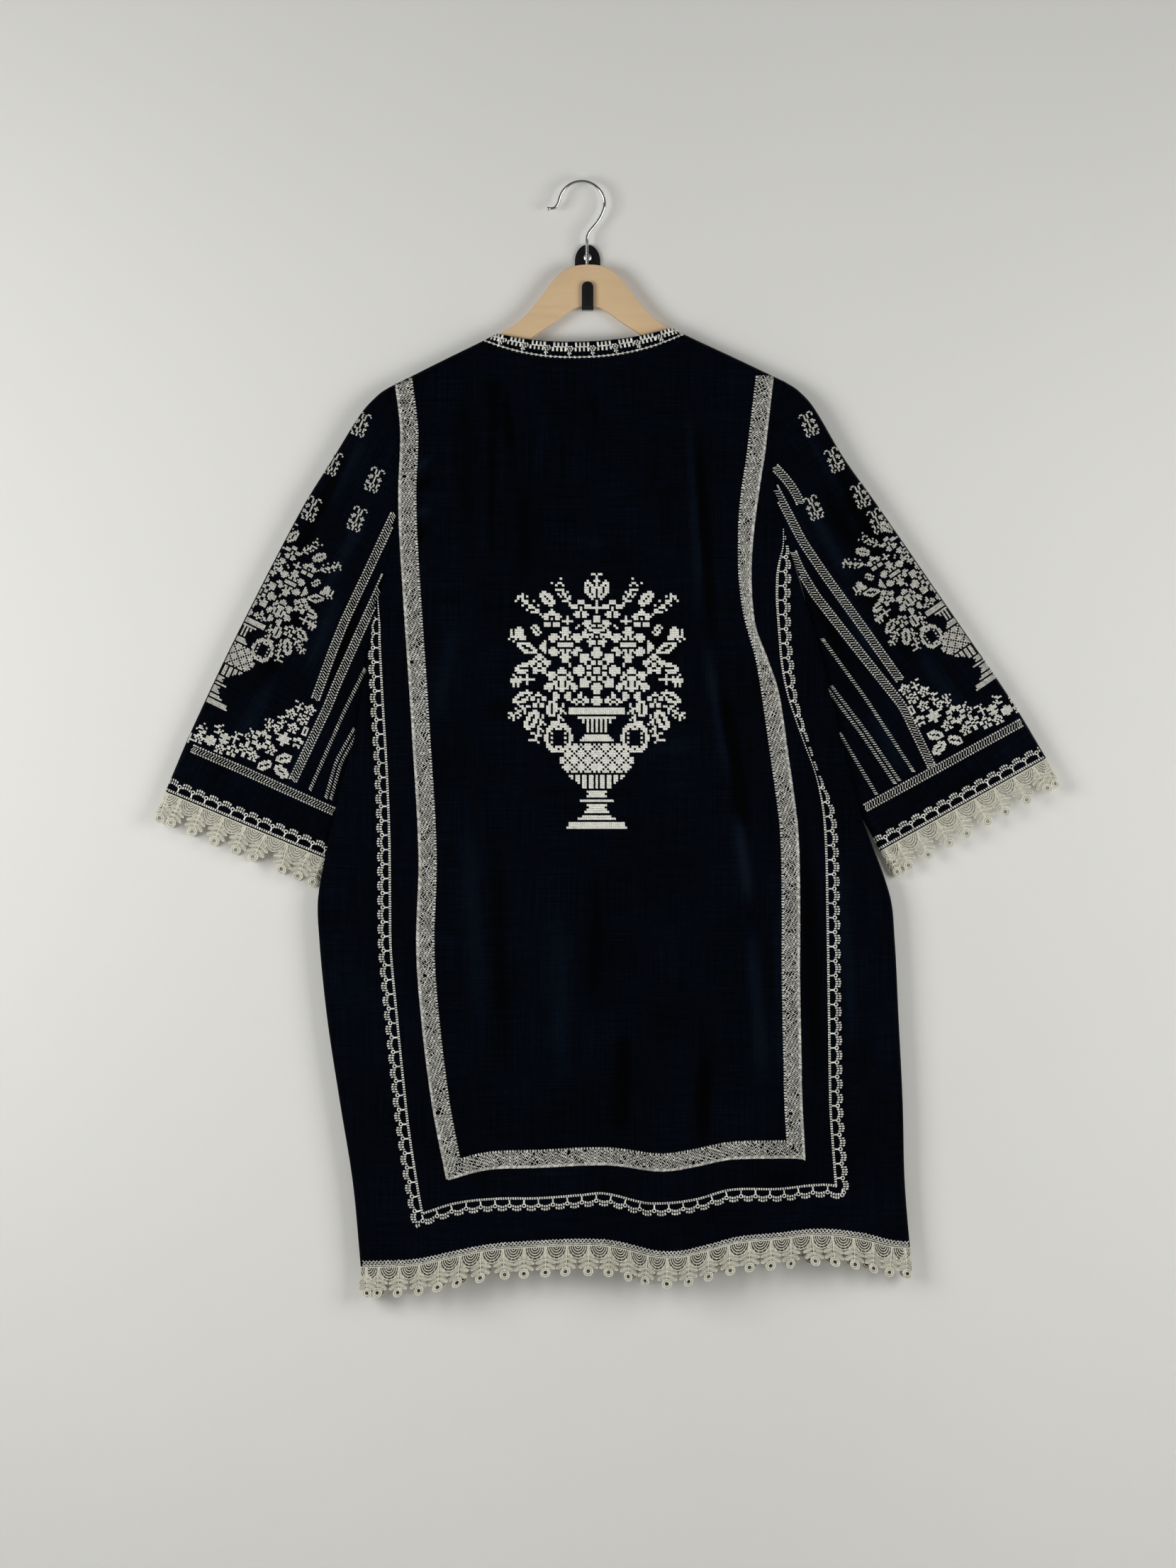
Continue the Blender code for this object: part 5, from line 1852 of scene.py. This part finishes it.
def model_lace(rings, strands, flat_discs):
    parts = [model_ring(ring) for ring in rings]
    parts += [model_strand(strand) for strand in strands]
    parts += [model_flat_disc(flat_disc) for flat_disc in flat_discs]
    return join_parts(parts)


fan = model_lace(FAN_RINGS, FAN_STRANDS, FAN_SHADE_DISCS)
pendant = model_lace(PENDANT_RINGS, PENDANT_STRANDS, PENDANT_LEAF_FILLS_AND_SHADE)
print("a fan:", len(fan[1]), "faces; a pendant:", len(pendant[1]), "faces")

# %% [markdown]
# Hanging the lace
#
# A copy is bent along the edge of the cloth: its first measure runs along the edge, its second
# hangs down and its third stands out from the cloth.  Each pendant swings a little its own way,
# because lace that has been worn never hangs quite straight.  The front lace is lined up behind
# the back's, so that the two read as one.

# %% Lace along an edge
END_INSET = 8.0         # the middle of the last pendant lies this far from the edge's end
SWING = 6.5             # degrees
SWING_FROM = 9.0
LIFT = 0.04             # how much a pendant's foot stands off for each millimetre down
LIFT_ERROR = 0.05
TONE_ERROR = 0.08
HEM_LAP = 2.7           # the hem's lace is sewn on over the cloth's edge
hung_at = {}


def outwards_of(edge, down, face):
    """Directions square to an edge and to the way down, towards the face's own side."""
    facing = np.cross(np.gradient(edge, axis=0), down)
    facing /= np.linalg.norm(facing, axis=1)[:, None]
    return -facing if (facing[:, 1].mean() > 0) == (face == "back") else facing


def hang_lace(name, node, face, edge, down, seed, lap, painted_shade_floor, behind):
    """Lace along the points of an edge.  Front lace is hung at the places of the back's."""
    outwards = outwards_of(edge, down, face)
    lengths = run_lengths(edge) / MM
    repeats = round(lengths[-1] / LACE_REPEAT)
    pitch = lengths[-1] / repeats
    dice = np.random.default_rng(seed)
    copies = [(fan, (place + 0.5) * pitch) for place in range(repeats)]
    copies += [(pendant, place * pitch) for place in range(repeats + 1)]
    if face == "front":
        lined_up = np.interp(hung_at[behind], edge[:, 0], lengths)
        copies = [(shape, middle) for (shape, _), middle in zip(copies, lined_up)]
    hung_at[name] = np.interp([middle for _, middle in copies], lengths, edge[:, 0])
    parts = []
    for (points, faces, tones), middle in copies:
        middle = float(np.clip(middle, END_INSET, lengths[-1] - END_INSET))
        swing = radians(dice.normal(0, SWING)) if faces is pendant[1] else 0.0
        lift = dice.normal(LIFT, LIFT_ERROR)
        fall = np.maximum(-points[:, 1] - SWING_FROM, 0.0)
        along = np.clip(middle + points[:, 0] + fall * np.tan(swing), 0.0, lengths[-1])
        start = np.stack([np.interp(along, lengths, edge[:, axis]) for axis in range(3)], axis=-1)
        facing = np.stack([np.interp(along, lengths, outwards[:, axis]) for axis in range(3)], axis=-1)
        rise = points[:, 2] + (CORD if lap else -CLOTH / 2) + fall * lift
        placed = start + MM * (down * (-points[:, 1] - lap)[:, None] + facing * rise[:, None])
        # tones are raised to the painted shade's floor: near black on the hem, lighter on the cuffs
        parts.append((placed, faces, np.maximum(tones, painted_shade_floor) + dice.normal(0, TONE_ERROR, len(tones))))
    piece = new_piece(name, *join_parts(parts), ecru)
    edit_all()
    face_outwards()
    smooth_below(70)
    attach(piece, "root")
    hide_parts(node)
    triangles = sum(len(face.vertices) - 2 for face in piece.data.polygons)
    print(name + ":", repeats, "repeats,", triangles, "triangles")
    return piece


print("the hem's lace laps over the cloth by", HEM_LAP, "mm")

# %% Hang the lace from hem and cuffs
parts = np.linspace(0, 1, 400)
straight_down = np.array([0.0, 0.0, -1.0])
for face in FACES:
    edge = panel_point(face, parts, np.full(parts.shape, 2.0))
    embroidery[face + "_cloth"].append(hang_lace(
        "hem_edging_" + face, "hem_lace_" + face, face, edge, straight_down, 51, HEM_LAP, PAINTED_SHADE_TONE,
        "hem_edging_back",
    ))
for side in SIDE_KEYS:
    start, end = cuff_line(side)
    along_cuff = np.array([end[0] - start[0], 0.0, -(end[1] - start[1])])
    down = np.array([along_cuff[2], 0.0, -along_cuff[0]])
    down = down / np.linalg.norm(down) * (-1 if down[2] > 0 else 1)
    for face in FACES:
        edge = sleeve_point(side, face, np.ones(parts.shape), parts)
        embroidery["sleeve_cloth_" + side].append(hang_lace(
            f"cuff_edging_{side}_{face}", f"cuff_lace_{side}_{face}", face, edge, down,
            60 + SIDE_KEYS.index(side), 0.0, CUFF_PAINTED_SHADE, f"cuff_edging_{side}_back",
        ))

# %% [markdown]
# The wooden hanger
#
# The hanger is cut from a beech board and rounded over.  Its form starts as a narrow grid, which
# is bent to the arch, pulled out to the board's thickness by extrusion, and bevelled along its
# edges.

# %% Beech
BEECH_GRAIN = (10, 60, 130)     # both noises are long in the grain's direction
BEECH_FLECKS = (300, 500, 2200)


def make_beech():
    material, shader = new_material("varnished beech", 0.42, Coat_Weight=0.25, Coat_Roughness=0.3)
    place = object_place(material)
    grain = noise(material, scaled(material, place, BEECH_GRAIN), 1.0, 4.0, 0.55)
    flecks = noise(material, scaled(material, place, BEECH_FLECKS), 1.0, 2.0)
    patches = noise(material, place, 18.0, 2.0)
    warm = colours(
        material, weighed(material, (grain, 0.6), (patches, 0.4)),
        (0.3, (0.50, 0.355, 0.205)), (0.5, (0.56, 0.40, 0.235)), (0.72, (0.61, 0.445, 0.27)),
    )
    dark = colours(material, flecks, (0.62, (1, 1, 1)), (0.78, (0.80, 0.72, 0.62)))
    mix = add_node(material, "ShaderNodeMix", data_type="RGBA", blend_type="MULTIPLY")
    mix.inputs[0].default_value = 0.6
    link(material, warm, mix.inputs[6])
    link(material, dark, mix.inputs[7])
    link(material, mix.outputs[2], shader.inputs["Base Color"])
    bump(material, shader, grain, 0.2 * MM, 0.25)
    return material


beech = make_beech()
print("beech ready")

# %% Hanger from a bent grid
HANGER_HALF = 193.6
HANGER_TIP = 16.6       # length of each round end
TIP_SLOPE = 0.49
TIP_POWER = 2.6         # a tip is a little blunter than an ellipse
TIP_LEAST = 0.35
HANGER_BEVEL = 3.6
HANGER_GRID = (160, 2)


def model_hanger():
    half_length = HANGER_HALF + HANGER_TIP
    sheet, across, down = grid_of_cloth("hanger_wood", *HANGER_GRID)
    x = between(-half_length, half_length, across)
    clipped = np.minimum(np.abs(x), HANGER_HALF)
    top = read(HANGER, "top", clipped)
    under = read(HANGER, "under", clipped)
    past = (np.abs(x) - clipped) / (half_length - HANGER_HALF)
    middle = (top + under) / 2 + past * HANGER_TIP * TIP_SLOPE
    half = (under - top) / 2 * np.sqrt(np.maximum(1 - past ** TIP_POWER, 0.0))
    drop = middle + np.maximum(half, TIP_LEAST) * (2 * down - 1) - HANGER_TILT * x
    set_points(sheet, stack(x, np.full(x.shape, HANGER_DEPTH + HANGER_WOOD / 2), drop))
    edit_all()
    pull_out((0, HANGER_WOOD * MM, 0))
    face_outwards()
    bevel_edges(sheet, HANGER_BEVEL, 4, 60, 50)
    drop_uv_maps(sheet)
    sheet.data.materials.append(beech)
    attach(sheet, "root")
    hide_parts("hanger")
    return sheet


hanger = model_hanger()
print("hanger: faces", len(hanger.data.polygons))

# %% [markdown]
# Wire hook, wall hook and screw
#
# The hook is chromed round wire.  A disc of the wire's section is extruded, moved and turned
# along its path, as a wire is bent in a jig, and its tip is swollen a little.  The wall hook has
# a black enamel, and its screw a domed head with a cross cut in it.

# %% Metals and enamel
def make_metal(name, colour, roughness, scratches):
    material, shader = new_material(name, roughness, 1.0)
    place = object_place(material)
    haze = noise(material, place, 260.0, 4.0, 0.7)
    low = tuple(channel * 0.86 for channel in colour)
    link(material, colours(material, haze, (0.35, low), (0.65, colour)), shader.inputs["Base Color"])
    rough = combine(material, "MULTIPLY_ADD", haze, scratches, roughness - scratches / 2)
    link(material, rough, shader.inputs["Roughness"])
    return material


def make_enamel():
    material, shader = new_material("black enamel", 0.32, Specular_IOR_Level=0.3)
    place = object_place(material)
    dust = noise(material, place, 900.0, 3.0, 0.7)
    tint = colours(material, dust, (0.45, (0.004, 0.004, 0.0045)), (0.8, (0.012, 0.0115, 0.011)))
    link(material, tint, shader.inputs["Base Color"])
    bump(material, shader, noise(material, place, 420.0, 2.0), 0.1 * MM, 0.4)
    return material


chrome = make_metal("chromed wire", (0.62, 0.62, 0.63), 0.14, 0.10)
steel = make_metal("screw steel", (0.72, 0.72, 0.72), 0.28, 0.16)
enamel = make_enamel()
print("metals ready")

# %% Bend the wire hook
WIRE_RADIUS = 1.5
WIRE_SIDES = 16
CROOK_X = -5.8
CROOK_Z = 73.0
CROOK_RADIUS = 22.5
CROOK_STEP = 6
WIRE_TIP = table("rise grow", (0.5, 1.22), (1.6, 1.0), (0.6, 0.7))


def wire_path():
    """X and Z along the wire, from inside the wood to its tip."""
    path = [(-0.6, 12.8), (-0.6, 26), (-0.6, 38), (-0.2, 41.5), (1.5, 45.5), (4, 48.6), (6.5, 51.5),
            (9.4, 55), (12, 59), (14.2, 63.2)]
    for angle in range(-12, 172, CROOK_STEP):
        spin = radians(angle)
        path.append((CROOK_X + CROOK_RADIUS * cos(spin), CROOK_Z + CROOK_RADIUS * sin(spin)))
    return path + [(-28.7, 74.6), (-29.6, 72.6), (-30.9, 70.6), (-32.6, 69.2), (-34.8, 68.6), (-37.3, 68.5)]


def bend_along(path, axis):
    """Extrudes the selected end along a path, turned at each point about an axis."""
    normal = Vector((axis == "X", axis == "Y", 0))
    heading = (path[1] - path[0]).normalized()
    for here, there, after in zip(path, path[1:], path[2:] + [path[-1] * 2 - path[-2]]):
        pull_out(there - here)
        wanted = ((there - here).normalized() + (after - there).normalized()).normalized()
        turn_by = heading.angle(wanted) * (1 if heading.cross(wanted).dot(normal) > 0 else -1)
        bpy.ops.transform.rotate(value=-turn_by, orient_axis=axis, center_override=there)
        heading = wanted
    return heading


def finish_bent(piece, material, node):
    """Closes off a piece that was bent along a path, and gives it its finish."""
    face_outwards()
    drop_uv_maps(piece)
    piece.data.materials.append(material)
    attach(piece, "root")
    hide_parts(node)


def model_wire():
    path = [Vector((x * MM, -HANGER_DEPTH * MM, z * MM)) for x, z in wire_path()]
    deselect()
    bpy.ops.mesh.primitive_circle_add(
        vertices=WIRE_SIDES, radius=WIRE_RADIUS * MM, location=path[0], fill_type="NGON",
    )
    wire = bpy.context.object
    wire.name = "wire_hook"
    wire.data.name = "wire_hook"
    bpy.ops.object.transform_apply(location=True)
    edit_all()
    heading = bend_along(path, "Y")
    tip = path[-1]
    for step in WIRE_TIP:
        tip = tip + heading * step.rise * MM
        pull_out(heading * step.rise * MM)
        resize((step.grow,) * 3, about=tip)
    finish_bent(wire, chrome, "hanger_hook")
    smooth_below(50)
    return wire


wire_hook = model_wire()
print("wire hook: faces", len(wire_hook.data.polygons))

# %% [markdown]
# The wall hook
#
# The wall hook is pressed from flat steel: an oval plate whose foot runs into a narrow strip,
# which is bent forward under the hanger and up again in front of it.  The plate starts as a
# disc that is drawn out to an oval and extruded.  The strip's section is extruded along its
# bends like the wire, and its tip is narrowed step by step to a round end.

# %% Plate and strip of the wall hook
PLATE_HALF = 12.7
PLATE_MIDDLE = 17.0
PLATE_UP = 17.0
PLATE_DOWN = 48.0
PLATE_THICK = 3.0
STRIP_HALF = 5.8
STRIP_THICK = 3.0
STRIP_BACK = 1.6
STRIP_UNDER = 30.3
STRIP_FRONT = 18.8
STRIP_BEND = 3.4
STRIP_TOP = 9.8         # drop at which the round tip starts
TIP_STEP = 15           # degrees of the round tip made at a time
TIP_END = 0.06          # width that the tip ends with, as a share
WORN_EDGES = (0.55, 3, 50, 40)      # what bevel_edges is told for steel strip


def model_plate():
    deselect()
    bpy.ops.mesh.primitive_circle_add(
        vertices=64, radius=PLATE_HALF * MM, fill_type="NGON", rotation=(pi / 2, 0, 0),
    )
    plate = bpy.context.object
    plate.name = "hook_plate"
    bpy.ops.object.transform_apply(rotation=True)
    for vertex in plate.data.vertices:
        stretch = (PLATE_UP if vertex.co.z > 0 else PLATE_DOWN) / PLATE_HALF
        vertex.co.z = vertex.co.z * stretch + PLATE_MIDDLE * MM
    edit_all()
    pull_out((0, -PLATE_THICK * MM, 0))
    finish_bent(plate, enamel, "wall_hook")
    bevel_edges(plate, *WORN_EDGES)
    return plate


def strip_path():
    """Depth and drop along the middle of the strip, from the plate to its round tip."""
    path = [(STRIP_BACK, 14), (STRIP_BACK, STRIP_UNDER - STRIP_BEND)]
    for angle in range(30, 91, 30):
        path.append((STRIP_BACK + STRIP_BEND * (1 - cos(radians(angle))),
                     STRIP_UNDER - STRIP_BEND * (1 - sin(radians(angle)))))
    for angle in range(0, 91, 30):
        path.append((STRIP_FRONT - STRIP_BEND * (1 - sin(radians(angle))),
                     STRIP_UNDER - STRIP_BEND * (1 - cos(radians(angle)))))
    return path + [(STRIP_FRONT, STRIP_TOP + 8), (STRIP_FRONT, STRIP_TOP)]


def model_strip():
    path = [Vector((0, -depth * MM, -drop * MM)) for depth, drop in strip_path()]
    deselect()
    bpy.ops.mesh.primitive_plane_add(size=1, location=path[0])
    strip = bpy.context.object
    strip.name = "hook_strip"
    bpy.ops.object.transform_apply(location=True)
    edit_all()
    resize((2 * STRIP_HALF * MM, STRIP_THICK * MM, 1), about=path[0])
    bend_along(path, "X")
    width = 1.0
    place = path[-1]
    for angle in range(TIP_STEP, 91, TIP_STEP):
        rise = STRIP_HALF * MM * (sin(radians(angle)) - sin(radians(angle - TIP_STEP)))
        place = place + Vector((0, 0, rise))
        wanted = max(cos(radians(angle)), TIP_END)
        pull_out((0, 0, rise))
        resize((wanted / width, 1, 1), about=place)
        width = wanted
    finish_bent(strip, enamel, "wall_hook")
    bevel_edges(strip, *WORN_EDGES)
    return strip


hook_plate = model_plate()
hook_strip = model_strip()
print("wall hook: faces", len(hook_plate.data.polygons) + len(hook_strip.data.polygons))

# %% Domed screw with a cross cut
SCREW_Z = 21.0
SCREW_RADIUS = 4.0
SCREW_RIM = 0.8
DOME = table("rise shrink", (0.55, 0.90), (0.4, 0.80), (0.25, 0.60))
CUT_WIDE = 1.0
CUT_LONG = 4.6
CUT_DEEP = 1.6
CUT_TURN = 20           # degrees


def model_screw():
    deselect()
    low = PLATE_THICK + SEAM
    bpy.ops.mesh.primitive_cylinder_add(
        vertices=32, radius=SCREW_RADIUS * MM, depth=SCREW_RIM * MM,
        location=(0, -(low + SCREW_RIM / 2) * MM, SCREW_Z * MM), rotation=(pi / 2, 0, 0),
    )
    screw = bpy.context.object
    screw.name = "screw_head"
    bpy.ops.object.transform_apply(location=True, rotation=True)
    bpy.ops.object.mode_set(mode="EDIT")
    middle = Vector((0, -(low + SCREW_RIM) * MM, SCREW_Z * MM))
    select_where(screw, "faces", lambda face: face.normal.y < -0.9)
    for step in DOME:
        pull_out((0, -step.rise * MM, 0))
        middle = middle - Vector((0, step.rise * MM, 0))
        resize((step.shrink, 1, step.shrink), about=middle)
    bpy.ops.object.mode_set(mode="OBJECT")
    for wide, long in ((CUT_WIDE, CUT_LONG), (CUT_LONG, CUT_WIDE)):
        deselect()
        bpy.ops.mesh.primitive_cube_add(size=1, location=middle)
        cutter = bpy.context.object
        cutter.scale = (wide * MM, CUT_DEEP * MM, long * MM)
        cutter.rotation_euler = (0, radians(CUT_TURN), 0)
        bpy.ops.object.transform_apply(location=True, rotation=True, scale=True)
        cut = screw.modifiers.new("cross cut", "BOOLEAN")
        cut.object = cutter
        cut.operation = "DIFFERENCE"
        apply_modifiers(screw)
        bpy.data.objects.remove(cutter)
    pick(screw)
    smooth_below(35)
    screw.data.materials.clear()
    screw.data.materials.append(steel)
    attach(screw, "root")
    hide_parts("wall_screw")
    return screw


screw_head = model_screw()
print("screw: faces", len(screw_head.data.polygons))

# %% [markdown]
# Sheets of cloth and their cut
#
# A Cut holds the size a sheet of cloth was cut to before it was sewn: its piece, width, length,
# area and what it rests on.  The real sleeves are cut all round, and each real panel is cut a
# little wider than it hangs, because its folds take up cloth.

Cut = namedtuple("Cut", "piece width length area rests_on")

# %% [markdown]
# The room
#
# A plain off-white wall and a pale floor, lit by a large soft light from the left and a weaker
# one from the right.  The wall's back is see-through and lets light by, and a third lamp stands
# behind it, so that the garment's hidden side can be looked at too.

# %% Wall and floor
def plain_paint(name, colour, clear_back):
    material, shader = new_material(name, 0.9, Specular_IOR_Level=0.2)
    place = object_place(material)
    low = tuple(channel * 0.97 for channel in colour)
    link(material, colours(material, noise(material, place, 1.6, 3.0), (0.3, low), (0.7, colour)),
         shader.inputs["Base Color"])
    bump(material, shader, noise(material, place, 300.0, 3.0), 0.2 * MM, 0.2)
    if clear_back:
        see_through = add_node(material, "ShaderNodeBsdfTransparent")
        back = add_node(material, "ShaderNodeNewGeometry").outputs["Backfacing"]
        shadow = add_node(material, "ShaderNodeLightPath").outputs["Is Shadow Ray"]
        mix = add_node(material, "ShaderNodeMixShader", {"Fac": combine(material, "MAXIMUM", back, shadow)})
        link(material, shader.outputs["BSDF"], mix.inputs[1])
        link(material, see_through.outputs["BSDF"], mix.inputs[2])
        link(material, mix.outputs["Shader"], material.node_tree.nodes["Material Output"].inputs["Surface"])
    return material


FLOOR_Z = -1.42
ROOM = 8                # width of the wall and of the floor


def plain_sheet(name, location, rotation, paint):
    deselect()
    bpy.ops.mesh.primitive_plane_add(size=ROOM, location=location, rotation=rotation)
    bpy.context.object.name = name
    bpy.context.object.data.materials.append(paint)
    return bpy.context.object


wall_paint = plain_paint("wall paint", (0.65, 0.65, 0.63), True)
floor_paint = plain_paint("floor paint", (0.60, 0.595, 0.57), False)
wall = plain_sheet("wall", (0, 0.5 * MM, FLOOR_Z + ROOM / 2), (pi / 2, 0, 0), wall_paint)
floor = plain_sheet("floor", (0, 0, FLOOR_Z), (0, 0, 0), floor_paint)
print("floor at", FLOOR_Z, "m")

# %% Lights and camera
LAMPS = table("name x y z size power",
    ("key", -1.25, -1.2, -0.3, 0.9, 22), ("fill", 1.3, -1.25, -0.42, 1.0, 19),
    ("behind the wall", 0.8, 1.6, 0.1, 1.2, 24),
)
AIM = Vector((0, 0, -0.45))
for lamp in LAMPS:
    light = bpy.data.lights.new(lamp.name, "AREA")
    light.size = lamp.size
    light.energy = lamp.power
    light.color = (1.0, 0.99, 0.97)
    holder = bpy.data.objects.new(lamp.name, light)
    holder.location = (lamp.x, lamp.y, lamp.z)
    holder.rotation_euler = (AIM - holder.location).to_track_quat("-Z", "Y").to_euler()
    bpy.context.collection.objects.link(holder)

world = bpy.data.worlds.new("soft studio")
bpy.context.scene.world = world
world.use_nodes = True
world.node_tree.nodes["Background"].inputs["Color"].default_value = (0.93, 0.95, 1.0, 1)
world.node_tree.nodes["Background"].inputs["Strength"].default_value = 0.11

SHOWN_HEIGHT = 1539.552 * MM        # of the wall, from the picture's top to its bottom
CAMERA_DISTANCE = 5.0   # from the cloth, which is this far out from the wall:
CLOTH_OUT = 0.025
CAMERA_X = 0.0004
CAMERA_Z = -0.498
SENSOR = 36.0
camera_data = bpy.data.cameras.new("camera")
camera_data.sensor_width = SENSOR
camera_data.lens = SENSOR * CAMERA_DISTANCE / SHOWN_HEIGHT
camera = bpy.data.objects.new("camera", camera_data)
camera.location = (CAMERA_X, -CAMERA_DISTANCE - CLOTH_OUT, CAMERA_Z)
camera.rotation_euler = (pi / 2, 0, 0)
bpy.context.collection.objects.link(camera)
bpy.context.scene.camera = camera
bpy.context.scene.view_settings.view_transform = "Standard"
print("lens:", round(camera_data.lens, 1), "mm")
